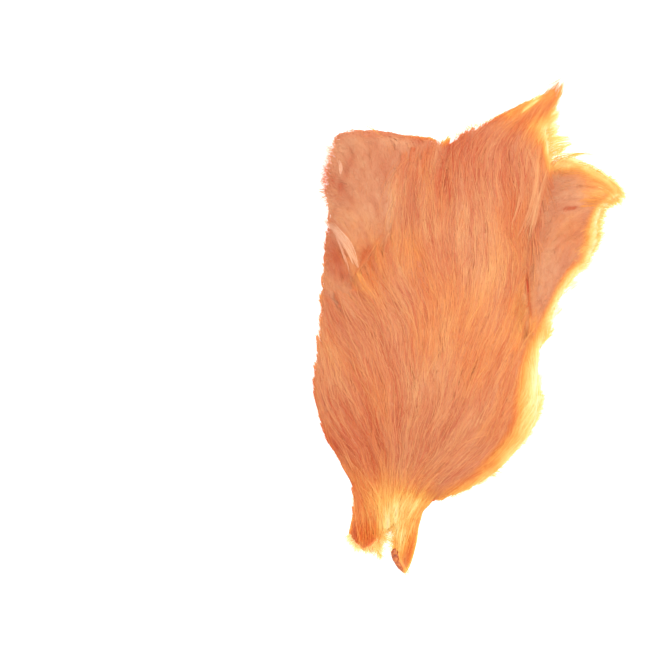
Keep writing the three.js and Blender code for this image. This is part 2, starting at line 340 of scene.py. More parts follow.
# Painted light and shade: thin rims are painted golden, standing in for the light from below that shines
# through them, and dense places stay salmon. The tone paints light and shade, and streaks vary both at
# random.
paintedLightAndStreaks = {
    "rimWidth": 2.5,  # how far the golden rim reaches in, before the places below add to it
    "rimPlaces": [
        [36, -34, 26, 16.8], [33, -14, 14, 3], [14, -62, 20, 4.5], [-8, -75, 14, 3], [44, 16, 30, 2.8],
        [58, 42, 14, 4.2], [54, 72, 16, 3.2], [66, 62, 10, 2.4], [-38, -98, 14, 1], [39, 84, 12, 7],
        [36, -3, 8, 3],
    ],
    "rimLeast": 0.8,  # and its least reach
    "rimRagged": 0.4,  # how far the locks carry it in and out
    "rimFall": 1.05,  # how fast it fades inwards
    "rimGlow": 0.3,  # how golden the very edge is, before the places below add to it
    "rimGlowPlaces": [
        [34, -34, 30, 0.62], [8, -66, 26, 0.5], [42, 10, 30, 0.6], [56, 44, 26, 0.75], [58, 72, 18, 0.6],
        [-40, -100, 20, 0.45], [-13, 82, 7, 0.7], [-66, 62, 30, -0.3], [-44, 88, 22, -0.3],
        [40, 84, 14, 0.7], [-68, -30, 60, -0.2],
    ],
    "glowPlaces": [
        [-30.5, -80, 6, 0.12], [-33, -87, 4, 0.12], [-24.5, -79, 5, 0.12], [-41, -86, 5, -0.14],
        [-36.5, -83, 4, -0.08], [26, -2, 8, 0.1], [37, 89, 4.5, 0.22], [36, 81, 3, -0.16],
        [44, 70.5, 4, 0.12], [52, 66, 6, 0.08], [58.5, 55.5, 4, 0.1], [-36.5, -79, 4, -0.1],
        [-29, -75, 4, 0.1], [-23.5, -78, 4.5, 0.08], [40, 90, 4, 0.2], [37, 104, 6, 0.14],
        [32.5, 84, 5, 0.14], [56, 66, 6, 0.12], [57, 56, 7, 0.12], [46, 71.5, 5, 0.12], [14, 10, 44, 0.1],
        [29, 2, 6, 0.14], [-36, -96, 12, 0.08], [38, 73, 6, 0.22], [36.5, 86, 5, 0.3], [33, 92, 5, 0.12],
        [-50, 26, 18, 0.17], [-30, 36, 12, 0.1], [-30, -82, 18, 0.4], [-44, -84, 14, 0.16],
        [-52, -70, 10, 0.1], [48, 42, 9, 0.18], [10, -50, 9, 0.06], [20, 12, 14, 0.06],
        [-48, -97, 6, 0.16], [-17, -79, 6, 0.2], [-25, -104, 10, 0.1], [34, 104, 10, 0.18],
        [24, 92, 12, 0.14], [34, 86, 9, 0.14], [55, 66, 8, 0.14], [62, 60, 8, 0.2],
    ],
    "glowStrokes": [
        [-34.6, -92, -33.6, -82, 4.6, 0.44], [-38, -86, -38.6, -95, 3, 0.1],
        [-25, -80, -25.5, -95, 4, 0.1], [-28.5, -94, -29.5, -108, 3.4, 0.22], [21, 8, 22, -10, 5, 0.08],
        [-31.6, -92, -30.8, -100, 2, 0.16], [4, 90, 30, 104, 2.2, 0.14],
        [24.5, 95.8, 31.5, 101.4, 0.9, 0.36], [18, 94, 36, 106, 2, 0.16], [26, 90, 36, 88, 2.5, 0.1],
        [39, 71.5, 54, 71, 3.2, 0.3], [54, 71, 66, 60, 3.6, 0.24],
    ],
    # Painted light and shade: places and strokes that paint the coat lighter where it is lit and darker
    # where it lies in shade, such as the crease at the right seam, the dark slit on the right shoulder and
    # the hollows at the left seam.
    "tonePlaces": [
        [-53, 19, 5, 0.12], [-11, 70, 7, 0.1], [-26, -100, 6, -0.1], [-60.5, 33, 6, -0.26],
        [-60, 25, 5, -0.2], [-14, 74, 9, 0.14], [-43, 35, 5, 0.16], [-40, 60, 26, 0.04],
        [-10, -60, 30, 0.03], [-44, -50, 26, -0.13], [-10, -52, 24, -0.02], [10, 4, 32, 0.06],
        [-8, 74, 30, -0.19], [-46, 50, 22, -0.08], [2, 66, 16, -0.06], [28, 20, 5, -0.12],
        [-22, -12, 12, -0.07], [-38, -92, 13, -0.1], [46, 44, 20, -0.06], [-21, 44, 16, 0.16],
        [-8, 28, 14, 0.08], [-62, 44, 9, -0.3], [-44, -92, 8, -0.22], [-25, -99, 8, -0.14],
        [-5, 76, 10, -0.1], [10, 20, 12, 0.1], [1, 84, 8, -0.08], [-34, 70, 8, -0.1],
        [-28, -68, 14, 0.06], [-42, 76, 20, -0.07], [-48, 50, 12, 0.2], [-36, 60, 12, 0.12],
        [-44, 34, 8, -0.1], [38, 40, 22, -0.06], [46, 56, 8, 0.08], [33, 8, 12, -0.12],
        [-58.5, 30, 5, -0.34], [-56, 22, 5, -0.3], [-66, -10, 30, 0.06], [20, 92, 12, -0.16],
        [-34, -72, 16, 0.06], [-46.5, -95, 5, -0.2], [21, 0, 12, 0.14], [26, 84, 10, 0.06],
        [-61, -55, 10, -0.2], [-54, 56, 6, -0.14], [-40, -86, 8, 0.1],
    ],
    "toneStrokes": [
        [-52.4, 74, -57, 63, 1.6, -0.2], [-57, 63, -60, 50, 1.5, -0.16],
        [-33.5, 73, -34.4, 58, 1.6, 0.16], [-34.4, 58, -36.8, 42, 1.6, 0.16],
        [-43, 35, -48, 28.5, 1.6, -0.08], [-46.6, 33.6, -48.2, 28.4, 0.6, -0.4],
        [-44.6, 35.4, -47.4, 30, 0.5, -0.4], [25.6, 23, 27.4, 4, 0.8, -0.5],
        [-58, 86, -20, 84.5, 2.2, -0.12], [-63, 84, -66, 52, 2.0, -0.08],
        [42.8, 52.0, 47.4, 52.5, 0.7, -1.2], [50, 58, 60, 60, 1.8, 0.16], [36, 66, 34, 48, 1.2, 0.14],
        [-25.6, -94, -26, -106, 1.6, -0.3], [-38, 82.5, -27, 81.5, 2.2, 0.16],
    ],
    "middleTone": 0.48,  # 0 is a coat in full shade, 1 in full light
    "lockTone": 0.05,  # how much the locks, streaks and patches change the tone
    "streakTone": 0.03,
    "patchTone": 0.05,
    "patchShift": 30,  # grid rows by which the patches of tone stand off those of glow
    "patchGlow": 0.035,  # how much the patches, and the streaks and locks, change the glow
    "glowStreaks": 0.12,
    "seamFrom": -6,  # the seams' shade and pale tips run from here up to the next two
    "leftSeamTo": 44,
    "rightSeamTo": 66,
    "seamRim": 0.1,  # how much paler the tips are, and how far that fades
    "seamRimReach": 1.2,
    "seamShade": 0.12,  # how much darker the down is, likewise
    "seamShadeReach": 2.0,
}

# Painted backlight: the golden rim and the glow inside it are painted into the colour, standing in for light
# from below that shines through thin feathers.
rimWidth = np.maximum(paintedLightAndStreaks["rimWidth"] + placed(paintedLightAndStreaks["rimPlaces"], fieldX, fieldY), paintedLightAndStreaks["rimLeast"])
rimStrength = np.clip(paintedLightAndStreaks["rimGlow"] + placed(paintedLightAndStreaks["rimGlowPlaces"], fieldX, fieldY), 0, 1)
rimFade = np.clip(1 - (edge + paintedLightAndStreaks["rimRagged"] * locks) / rimWidth, 0, 1) ** paintedLightAndStreaks["rimFall"]
rimGlow = rimStrength * rimFade
innerGlow = placed(paintedLightAndStreaks["glowPlaces"], fieldX, fieldY) + stroked(paintedLightAndStreaks["glowStrokes"], fieldX, fieldY)
innerGlow = innerGlow * (1 + paintedLightAndStreaks["glowStreaks"] * (streaks + locks)) + paintedLightAndStreaks["patchGlow"] * patches
glow = np.clip(np.maximum(rimGlow, innerGlow), 0, 1)
# Painted light and shade: the tone runs from full shade at 0 to full light at 1, set by the places and
# strokes, and the locks, streaks and patches vary it at random.
tone = paintedLightAndStreaks["middleTone"] + placed(paintedLightAndStreaks["tonePlaces"], fieldX, fieldY)
tone = tone + stroked(paintedLightAndStreaks["toneStrokes"], fieldX, fieldY)
tone = tone + paintedLightAndStreaks["lockTone"] * locks + paintedLightAndStreaks["streakTone"] * streaks
tone = tone - paintedLightAndStreaks["patchTone"] * np.roll(patches, paintedLightAndStreaks["patchShift"], 0)
# Where the hackles lie over a shoulder, their tips are painted paler, as lit edges, and the down beside them
# is painted darker, as in their shade.
seamTo = np.where(fieldX < 0, paintedLightAndStreaks["leftSeamTo"], paintedLightAndStreaks["rightSeamTo"])
besideSeam = inRange(fieldY, paintedLightAndStreaks["seamFrom"], seamTo).astype(float)
seamRim = paintedLightAndStreaks["seamRim"] * np.exp(-np.abs(intoHackles - 1) / paintedLightAndStreaks["seamRimReach"]) * (intoHackles > 0)
seamShade = paintedLightAndStreaks["seamShade"] * np.exp(intoHackles / paintedLightAndStreaks["seamShadeReach"]) * (intoHackles <= 0)
tone = tone + blurred(besideSeam, 3) * (seamRim - seamShade)


def linear(colour):  # a picture's colour, 0 to 255, as the light that a shader reads
    c = np.array(colour) / 255
    return [*np.where(c <= 0.04045, c / 12.92, ((c + 0.055) / 1.055) ** 2.4), 1.0]


def newMaterial(name):  # a material without nodes, and its empty tree
    material = bpy.data.materials.new(name)
    material.use_nodes = True
    material.node_tree.nodes.clear()
    return material, material.node_tree


def ramp(tree, value, stops):  # a colour band along a value, from [place, colour] stops
    node = tree.nodes.new("ShaderNodeValToRGB")
    elements = node.color_ramp.elements
    while len(elements) < len(stops):
        elements.new(0.5)
    for element, (place, colour) in zip(elements, stops):
        element.position = place
        element.color = linear(colour)
    tree.links.new(value, node.inputs["Fac"])
    return node.outputs["Color"]


def noiseOf(tree, scale, detail):  # an even noise through the piece, by the place in its own mesh
    place = tree.nodes.new("ShaderNodeTexCoord")
    noise = tree.nodes.new("ShaderNodeTexNoise")
    noise.inputs["Scale"].default_value = scale
    noise.inputs["Detail"].default_value = detail
    tree.links.new(place.outputs["Object"], noise.inputs["Vector"])
    return noise.outputs["Fac"]


def bumpOf(tree, height, strength, distance):  # the tilt of the surface that a height gives
    bump = tree.nodes.new("ShaderNodeBump")
    bump.inputs["Strength"].default_value = strength
    bump.inputs["Distance"].default_value = distance
    tree.links.new(height, bump.inputs["Height"])
    return bump.outputs["Normal"]


def attributeOf(tree, name):  # a number that the mesh keeps at its points
    node = tree.nodes.new("ShaderNodeAttribute")
    node.attribute_name = name
    return node.outputs["Fac"]


def surfaceOf(tree, sockets):  # a surface with each named socket linked, or set to a plain value
    surface = tree.nodes.new("ShaderNodeBsdfPrincipled")
    for name, value in sockets.items():
        if isinstance(value, bpy.types.NodeSocket):
            tree.links.new(value, surface.inputs[name])
        else:
            surface.inputs[name].default_value = value
    return surface.outputs["BSDF"]


def finish(tree, shader):  # the shader goes to the material's output
    output = tree.nodes.new("ShaderNodeOutputMaterial")
    tree.links.new(shader, output.inputs["Surface"])


def mixed(tree, share, a, b):  # colour a at share 0, colour b at share 1
    node = tree.nodes.new("ShaderNodeMix")
    node.data_type = "RGBA"
    tree.links.new(share, node.inputs["Factor"])
    tree.links.new(a, node.inputs["A"])
    tree.links.new(b, node.inputs["B"])
    return node.outputs["Result"]


plumage = {
    "shadow": [[0, (204, 79, 50)], [0.28, (226, 106, 42)], [0.5, (244, 162, 64)], [0.75, (250, 216, 120)],
               [1, (254, 240, 186)]],
    "lit": [[0, (241, 189, 139)], [0.28, (246, 187, 112)], [0.5, (253, 212, 120)], [0.75, (255, 238, 166)],
            [1, (255, 252, 228)]],
    "roughness": 0.58,
    "seeThrough": 0.35,
}
softDown = {
    "shadow": [[0, (205, 106, 74)], [0.28, (225, 124, 64)], [0.5, (244, 168, 74)], [0.75, (250, 218, 126)],
               [1, (254, 242, 192)]],
    "lit": [[0, (243, 197, 153)], [0.28, (248, 192, 123)], [0.5, (254, 212, 128)], [0.75, (255, 240, 174)],
            [1, (255, 252, 230)]],
    "roughness": 0.65,
    "seeThrough": 0.35,
}
creamHair = {
    "shadow": [[0, (214, 112, 76)], [0.28, (230, 140, 84)], [0.5, (246, 184, 100)], [0.75, (252, 224, 150)],
               [1, (254, 242, 200)]],
    "lit": [[0, (250, 214, 182)], [0.28, (252, 214, 160)], [0.5, (254, 226, 156)], [0.75, (255, 242, 194)],
            [1, (255, 252, 232)]],
    "roughness": 0.55,
    "seeThrough": 0.3,
}
barbGloss = {"specular": 0.18, "sheen": 0.05}


# Plumage: two colour bands along the glow, one in shadow and one in light, mixed by tone.
# Both are read from the piece's own map: tone across, glow up.
def barbMaterial(name, look):
    material, tree = newMaterial(name)
    uvMap = tree.nodes.new("ShaderNodeUVMap")
    uvMap.uv_map = "OFBake"
    split = tree.nodes.new("ShaderNodeSeparateXYZ")
    tree.links.new(uvMap.outputs["UV"], split.inputs["Vector"])
    shade = ramp(tree, split.outputs["Y"], look["shadow"])
    lit = ramp(tree, split.outputs["Y"], look["lit"])
    colour = mixed(tree, split.outputs["X"], shade, lit)
    surface = surfaceOf(tree, {
        "Base Color": colour,
        "Roughness": look["roughness"],
        "Specular IOR Level": barbGloss["specular"],
        "Sheen Weight": barbGloss["sheen"],
    })
    through = tree.nodes.new("ShaderNodeBsdfTranslucent")
    tree.links.new(colour, through.inputs["Color"])
    blend = tree.nodes.new("ShaderNodeMixShader")
    blend.inputs["Fac"].default_value = look["seeThrough"]
    tree.links.new(surface, blend.inputs[1])
    tree.links.new(through.outputs["BSDF"], blend.inputs[2])
    finish(tree, blend.outputs["Shader"])
    return material


hackleMaterial = barbMaterial("hackle barbs", plumage)
downMaterial = barbMaterial("soft down", softDown)
creamMaterial = barbMaterial("cream hair", creamHair)


def addMesh(name, corners, loops, sizes, uv, material, slot):  # arrays of corners and faces into one piece
    mesh = bpy.data.meshes.new(name)
    mesh.vertices.add(len(corners))
    mesh.vertices.foreach_set("co", (corners * mm).astype(np.float32).ravel())
    mesh.loops.add(len(loops))
    mesh.loops.foreach_set("vertex_index", loops.astype(np.int32))
    mesh.polygons.add(len(sizes))
    starts = np.concatenate([[0], np.cumsum(sizes)[:-1]])
    mesh.polygons.foreach_set("loop_start", starts.astype(np.int32))
    mesh.polygons.foreach_set("loop_total", sizes.astype(np.int32))
    layer = mesh.uv_layers.new(name="OFBake")
    layer.data.foreach_set("uv", np.clip(uv[loops], 0.01, 0.99).astype(np.float32).ravel())
    mesh.update(calc_edges=True)
    mesh.validate()
    mesh.shade_smooth()
    mesh.materials.append(material)
    piece = bpy.data.objects.new(name, mesh)
    bpy.context.collection.objects.link(piece)
    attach(piece, "root")
    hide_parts("cape")
    print(name, len(sizes), "faces,", int(np.sum(sizes - 2)), "triangles")
    return piece


toneRange = (0.03, 0.97)  # darkest and lightest that a ribbon is


# Ribbons: each is a row of stations, two corners wide, that ends in one pointed corner.
# points are [ribbon, station, 3], half widths [ribbon, station], sides unit vectors.
def ribbons(points, halfWidth, side, tones, glows):
    count, stations = points.shape[:2]
    spread = halfWidth[:, :-1, None] * side[:, :-1]
    left = points[:, :-1] + spread
    right = points[:, :-1] - spread
    corners = np.concatenate([left, right, points[:, -1:]], axis=1)
    # Painted shading: each ribbon is painted a little darker on its left and lighter on its right, as a
    # rounded barb lit from one side.
    paintedShadeAcross = 0.014  # a ribbon is a little darker on its left and lighter on its right
    # Painted backlight: the tip is painted a little more golden, as the thin tip lets more light through.
    tipGlow = 0.05  # and a little more golden at its tip
    up = glows + np.linspace(0, tipGlow, stations)
    across = np.broadcast_to(tones.reshape(count, -1), (count, stations))
    uvLeft = np.stack([across[:, :-1] - paintedShadeAcross, up[:, :-1]], -1)
    uvRight = np.stack([across[:, :-1] + paintedShadeAcross, up[:, :-1]], -1)
    uvTip = np.stack([across[:, -1:], up[:, -1:]], -1)
    uv = np.concatenate([uvLeft, uvRight, uvTip], axis=1)
    rung = stations - 1
    k = np.arange(rung - 1)
    quads = np.stack([k, rung + k, rung + k + 1, k + 1], -1).ravel()
    tip = np.array([rung - 1, 2 * rung - 1, 2 * rung])
    loop = np.concatenate([quads, tip])
    perRibbon = 2 * rung + 1
    loops = (np.arange(count)[:, None] * perRibbon + loop).ravel()
    sizes = np.tile(np.array([4] * (rung - 1) + [3]), count)
    return corners.reshape(-1, 3), loops, sizes, uv.reshape(-1, 2)


def joined(parts):  # several sets of ribbons as one set
    offset = 0
    loops = []
    for corners, partLoops, _, _ in parts:
        loops.append(partLoops + offset)
        offset += len(corners)
    return (
        np.concatenate([p[0] for p in parts]), np.concatenate(loops),
        np.concatenate([p[2] for p in parts]), np.concatenate([p[3] for p in parts]),
    )


# An even scatter: steps of a ratio that never repeats, each point nudged off its place.
def evenScatter(count, low, high):
    ratio = 1.3247179572
    index = np.arange(1, count + 1)
    spacing = math.sqrt((high[0] - low[0]) * (high[1] - low[1]) / count)
    x = lerp(low[0], high[0], (0.5 + index / ratio) % 1)
    y = lerp(low[1], high[1], (0.5 + index / ratio**2) % 1)
    nudge = 0.6 * spacing * random.standard_normal((2, count))  # about 0.6 of a step each way
    return x + nudge[0], y + nudge[1]


# A feather's path: from its tip back to its root against the comb, turned a little near the tip.
def pathsBack(comb, tipX, tipY, length, wander, stations):
    x = tipX.copy()
    y = tipY.copy()
    path = [np.stack([x, y], -1)]
    stride = length / (stations - 1)
    for k in range(stations - 1):
        turn = wander * (1 - k / (stations - 1))
        alongX = read(comb[0], x, y)
        alongY = read(comb[1], x, y)
        x = x - stride * (alongX * np.cos(turn) - alongY * np.sin(turn))
        y = y - stride * (alongX * np.sin(turn) + alongY * np.cos(turn))
        path.append(np.stack([x, y], -1))
    return np.stack(path[::-1], axis=1)


# Paths shortened so that no root lies off the pile: cut where they first leave it, tip backwards.
# Those that leave it within a third of their length are left out.
def rootedInside(paths, length, within):
    inside = readAlong(within, paths) > coatMargin["root"]
    inside[:, -1] = True
    kept = np.cumprod(inside[:, ::-1], axis=1).sum(1) - 1
    stations = paths.shape[1]
    good = kept >= (stations - 1) / 3
    place = stations - 1 - kept[:, None] * np.linspace(1, 0, stations)
    index = np.clip(place.astype(int), 0, stations - 2)
    rows = np.arange(len(paths))[:, None]
    share = (place - index)[..., None]
    shortened = lerp(paths[rows, index], paths[rows, index + 1], share)
    return shortened[good], (length * kept / (stations - 1))[good], good


def oneLong(vectors):  # the same directions, one unit long
    return vectors / np.maximum(np.linalg.norm(vectors, axis=-1, keepdims=True), 1e-9)


def leftOf(direction):  # a quarter turn to the left
    return np.stack([-direction[..., 1], direction[..., 0]], -1)


def levelLeftOf(direction):  # likewise, as a level direction in space
    return np.concatenate([leftOf(direction), np.zeros((*direction.shape[:-1], 1))], -1)


# The points at distances along paths and to their side, straight on past a path's end.
def besidePaths(paths, length, along, aside):
    stations = paths.shape[1]
    place = along / length[:, None, None] * (stations - 1)
    index = np.clip(np.floor(place).astype(int), 0, stations - 2)
    rows = np.arange(len(paths))[:, None, None]
    start = paths[rows, index]
    ahead = paths[rows, index + 1] - start
    point = start + ahead * (place - index)[..., None]
    unit = oneLong(ahead)
    return point + leftOf(unit) * aside[..., None], unit


# What the barbs of all coats share.
barb = {
    "last": 0.93,  # where the last barb leaves the shaft, as a share of it
    "end": 1.03,  # past which no barb reaches, likewise
    "scatter": 0.03,  # how far the barbs stray along the shaft, likewise
    "length": (0.75, 1.25),  # least and greatest, as shares of the coat's own
    "vane": (0.6, 1.4),  # likewise
    "leastVane": 0.2,  # vane that a much shortened feather keeps, as a share of the coat's own
    "narrowing": 0.7,  # how much narrower the vane is at its tip
    "bend": 1.7,  # how strongly a barb bends towards the tip
    "rootSink": 1.2,  # how fast a barb comes up from its sunk root
    "lowest": 0.2,  # least height over the floor
    "taper": (1, 0.9, 0),  # of the width, from root to tip
}
shaft = {
    "stations": (0.45, 0.7, 0.88, 1.0),  # as shares of the feather's length
    "taper": (1, 0.9, 0.7, 0),
    "overBarbs": 0.1,
}


# Barbs of feathers: each leaves its shaft at an angle and bends towards the tip. They lie on the top of
# the pile, sunk at the root and lifted at the tip.
def barbsOf(paths, length, coat, top, tones, lifts, hues):
    perSide = coat["barbsPerSide"]
    shape = (len(paths), 2 * perSide)
    count = shape[0] * shape[1]
    start = np.tile(np.linspace(coat["firstBarb"], barb["last"], perSide), 2)
    start = start + barb["scatter"] * random.standard_normal(shape)
    side = np.repeat([1, -1], perSide)[None, :]
    reach = coat["barbLength"] * between(*barb["length"], shape)
    reach = np.minimum(reach, length[:, None] * (barb["end"] - start))
    slim = np.clip(length / coat["fullLength"], barb["leastVane"], 1)[:, None]
    narrowing = 1 - barb["narrowing"] * np.clip(start, 0, 1) ** 3
    halfVane = coat["halfVane"] * slim * narrowing * between(*barb["vane"], shape)
    t = np.linspace(0, 1, 3)
    along = start[..., None] * length[:, None, None] + reach[..., None] * t
    aside = (side * halfVane)[..., None] * (1 - (1 - t) ** barb["bend"])
    flat, unit = besidePaths(paths, length, along, aside)
    x = flat[..., 0]
    y = flat[..., 1]
    share = np.clip(along / length[:, None, None], 0, 1)
    barbLift = coat["barbLift"] * random.random((*shape, 1)) * t
    lift = coat["lift"] * lifts[:, None, None] + barbLift
    sunk = coat["sink"] * (1 - share) ** barb["rootSink"]
    z = np.maximum(read(top, x, y) - sunk + lift * share + coat["above"], barb["lowest"])
    points = np.concatenate([flat, z[..., None]], -1)
    roll = coat["roll"] * random.standard_normal((*shape, 1, 1)) + coat["tilt"] * side[..., None, None]
    sideways = levelLeftOf(unit) * np.cos(roll) + np.array([0, 0, 1]) * np.sin(roll)
    halfWidth = coat["barbWidth"] / 2 * np.array(barb["taper"])
    ownTone = tones[:, None] + coat["barbTone"] * random.standard_normal(shape)
    ownTone = ownTone + coat["tipTone"] * (start - 0.5)
    barbTone = np.clip(read(tone, x, y) + ownTone[..., None], *toneRange)
    barbGlow = np.clip(read(glow, x, y) + hues[:, None, None], 0, 1)
    return ribbons(
        points.reshape(count, 3, 3), np.tile(halfWidth, (count, 1)), sideways.reshape(count, 3, 3),
        barbTone.reshape(count, 3), barbGlow.reshape(count, 3),
    )


# Shafts: one thin pale ribbon down the middle of each feather's outer half.
def shaftsOf(paths, length, coat, top, tones):
    t = np.array(shaft["stations"])
    along = t * length[:, None, None]
    flat, unit = besidePaths(paths, length, along, np.zeros_like(along))
    x = flat[:, 0, :, 0]
    y = flat[:, 0, :, 1]
    sunk = coat["sink"] * (1 - t) ** barb["rootSink"]
    z = read(top, x, y) - sunk + coat["lift"] * t + coat["above"] + shaft["overBarbs"]
    points = np.stack([x, y, z], -1)
    halfWidth = np.tile(coat["barbWidth"] / 2 * np.array(shaft["taper"]), (len(paths), 1))
    shaftTone = np.clip(read(tone, x, y) + tones[:, None] + coat["shaftTone"], *toneRange)
    return ribbons(points, halfWidth, levelLeftOf(unit)[:, 0], shaftTone, np.clip(read(glow, x, y), 0, 1))


def chosen(mask, x, y):  # which points to keep: all inside the mask, and some by chance at its border
    return read(mask.astype(float), x, y) > random.random(len(x))


# Edge distances that roots and tips keep, and how far the locks carry that of the tips in and out.
coatMargin = {"root": 0.3, "tip": 0.5, "ragged": 0.5}
pathStations = 9  # points on the path of a feather


# A coat of feathers: locks are scattered evenly where the coat may show. The first feather of a lock ends
# at its point, and the others end further back and to the side, so that the lock narrows to that point.
def coatOf(coat, comb, top, allowed, within):
    area = (coat["high"][0] - coat["low"][0]) * (coat["high"][1] - coat["low"][1])
    x, y = evenScatter(int(area * coat["locksPerArea"]), coat["low"], coat["high"])
    keep = chosen(allowed, x, y)
    x = x[keep]
    y = y[keep]
    perLock = coat["perLock"]
    shape = (len(x), perLock)
    back = random.random(shape)
    back[:, 0] = 0
    aside = coat["lockWidth"] * (2 * random.random(shape) - 1) * back**0.6
    alongX = read(comb[0], x, y)[:, None]
    alongY = read(comb[1], x, y)[:, None]
    tipX = (x[:, None] - coat["lockLength"] * back * alongX - aside * alongY).ravel()
    tipY = (y[:, None] - coat["lockLength"] * back * alongY + aside * alongX).ravel()
    count = len(tipX)
    lengths = np.array(coat["lengths"])
    length = np.interp(tipY, lengths[:, 0], lengths[:, 1]) * between(0.8, 1.2, count)
    wander = np.repeat(coat["wander"] * random.standard_normal(len(x)), perLock)
    paths = pathsBack(comb, tipX, tipY, length, wander, pathStations)
    paths, length, good = rootedInside(paths, length, within)
    tones = np.repeat(coat["lockTone"] * random.standard_normal(len(x)), perLock)
    tones = (tones + coat["featherTone"] * random.standard_normal(count))[good]
    lifts = np.repeat(random.random(len(x)), perLock)[good]
    hues = np.repeat(coat["lockHue"] * random.standard_normal(len(x)), perLock)[good]
    barbs = barbsOf(paths, length, coat, top, tones, lifts, hues)
    shafts = shaftsOf(paths, length, coat, top, tones)
    return joined([barbs, shafts])


hackles = {
    "lengths": [[-100, 7], [-80, 12], [-50, 18], [0, 22], [60, 24], [110, 24]],  # length of a feather at y
    "locksPerArea": 0.155,  # for each square millimetre
    "perLock": 5,  # feathers in a lock
    "lockLength": 9,  # how far back from its point they end, and how far to the side
    "lockWidth": 1.2,
    "lockTone": 0.06,  # how much the locks differ in tone, and in glow
    "lockHue": 0.045,
    "barbsPerSide": 8,
    "firstBarb": 0.12,  # where it leaves the shaft, as a share of it
    "barbLength": 12,
    "barbWidth": 0.36,
    "halfVane": 0.9,  # how far the barbs spread from the shaft
    "fullLength": 14,  # length from which a feather has its full vane
    "sink": 1.6,  # how deep the roots lie in the pile
    "lift": 0.6,  # how high the tips stand over it
    "barbLift": 0.2,
    "above": 0.4,
    "roll": 0.13,  # how much the barbs turn about themselves, by chance and away from the shaft
    "tilt": 0.16,
    "wander": 0.2,  # how much a lock turns off the comb
    "featherTone": 0.03,
    "barbTone": 0.03,
    "tipTone": 0.12,
    "shaftTone": 0.07,
}
# The coat in four pieces, by the y of its feathers' tips.
hackleBands = {"near": (-98, -40), "lower": (-40, -8), "middle": (-8, 30), "far": (30, 114)}

# The bare skin of the strips: rows [y, left x, right x], down to their cut ends.
skins = {
    "leftStrip": [
        [-101.4, -46.9, -46.2], [-99.2, -49.6, -43.6], [-96.6, -52.9, -41], [-94, -53.6, -37.6],
        [-92.2, -53.4, -35.6], [-90.6, -53, -33.4], [-86, -52, -32.8], [-76, -50, -32],
    ],
    "rightStrip": [
        [-111.6, -28.6, -27.8], [-108.7, -30.4, -26], [-105.5, -32.6, -24.8], [-102.4, -34.2, -23.9],
        [-97, -33.4, -22.6], [-92.2, -32.8, -22], [-90.6, -34, -21.8], [-86, -35, -20.5], [-80, -36, -19],
    ],
}


def inSkins(x, y):  # inside the rows of a strip, less a narrow margin
    margin = 0.4
    inside = np.zeros(x.shape, bool)
    for rows in skins.values():
        table = np.array(rows)
        left = np.interp(y, table[:, 0], table[:, 1])
        right = np.interp(y, table[:, 0], table[:, 2])
        inside |= inRange(x, left + margin, right - margin) & (y > table[0, 0])
    return inside


# Where the hackles may show.
hackleArea = {
    "x": (-72, 46),
    "y": (-90, 105),
    "skinBelow": -86,  # y below which they start on the skin of a strip
    "gapX": (-38.5, -32.5),  # between the two head strips
    "betweenSeams": -20,  # x that has the left seam on one side and the right one on the other
    "seamRagged": (0.8, 0.5),  # how far the locks carry the left and the right seam in and out
    "edgeY": (-91, 105),  # where the slim hackles of the edge may show
    "edgeBand": (0.35, 4.5),  # and how far from the edge they end
}
inStrips = inSkins(fieldX, fieldY)
stripEdge = edgeDistance(inStrips)
rootEdge = np.where(fieldY < hackleArea["skinBelow"], np.minimum(edge, stripEdge), edge)
inReach = rootEdge > coatMargin["tip"] + coatMargin["ragged"] * locks
seamRagged = np.where(fieldX < hackleArea["betweenSeams"], *hackleArea["seamRagged"])
overShoulders = intoHackles + seamRagged * locks > 0
hackleAllowed = inReach & overShoulders & inRange(fieldY, *hackleArea["y"])
lowX, highX = hackleArea["x"]
for bandName, (bandLow, bandHigh) in hackleBands.items():
    band = dict(hackles, low=(lowX, bandLow), high=(highX, bandHigh))
    piece = coatOf(band, combs["hackles"], bedTop, hackleAllowed, rootEdge)
    addMesh("hackles_" + bandName, *piece, hackleMaterial, "hackles")

# Slim single hackles close the coat along its edge.
edgeHackles = dict(
    hackles, locksPerArea=0.62, perLock=1, halfVane=0.7, above=0.2, lift=0.3, sink=1.5, lockTone=0.06,
    low=(lowX, -92), high=(highX, 106),
)
inGap = inRange(fieldX, *hackleArea["gapX"]) & (fieldY < hackleArea["y"][0])
nearest, farthest = hackleArea["edgeBand"]
nearEdge = (rootEdge > nearest) & (edge < farthest) & (intoHackles > 0)
nearEdge = nearEdge & inRange(fieldY, *hackleArea["edgeY"]) & ~inGap
edgeCoat = coatOf(edgeHackles, combs["hackles"], bedTop, nearEdge, rootEdge)
addMesh("hackles_edge", *edgeCoat, hackleMaterial, "hackles")

# The shoulders' down, in the same terms.
shoulderDown = {
    "lengths": [[0, 11]],
    "locksPerArea": 0.2,
    "perLock": 4,
    "lockLength": 4,
    "lockWidth": 1.6,
    "lockTone": 0.035,
    "lockHue": 0.03,
    "barbsPerSide": 8,
    "firstBarb": 0.05,
    "barbLength": 6,
    "barbWidth": 0.32,
    "halfVane": 1.3,
    "fullLength": 9,
    "sink": 1.2,
    "lift": 0.4,
    "barbLift": 0.3,
    "above": 0.1,
    "roll": 0.15,
    "tilt": 0.14,
    "wander": 0.3,
    "featherTone": 0.02,
    "barbTone": 0.025,
    "tipTone": 0.1,
    "shaftTone": 0.02,
}
downUnder = 0.8  # how far the down lies under the hackles where it runs in beneath them
# Slim single feathers close the down along its edge.
edgeDown = dict(
    shoulderDown, lengths=[[0, 7]], locksPerArea=1.2, perLock=1, barbsPerSide=5, halfVane=0.55,
    barbLength=5, above=0.25, wander=0.5,
)
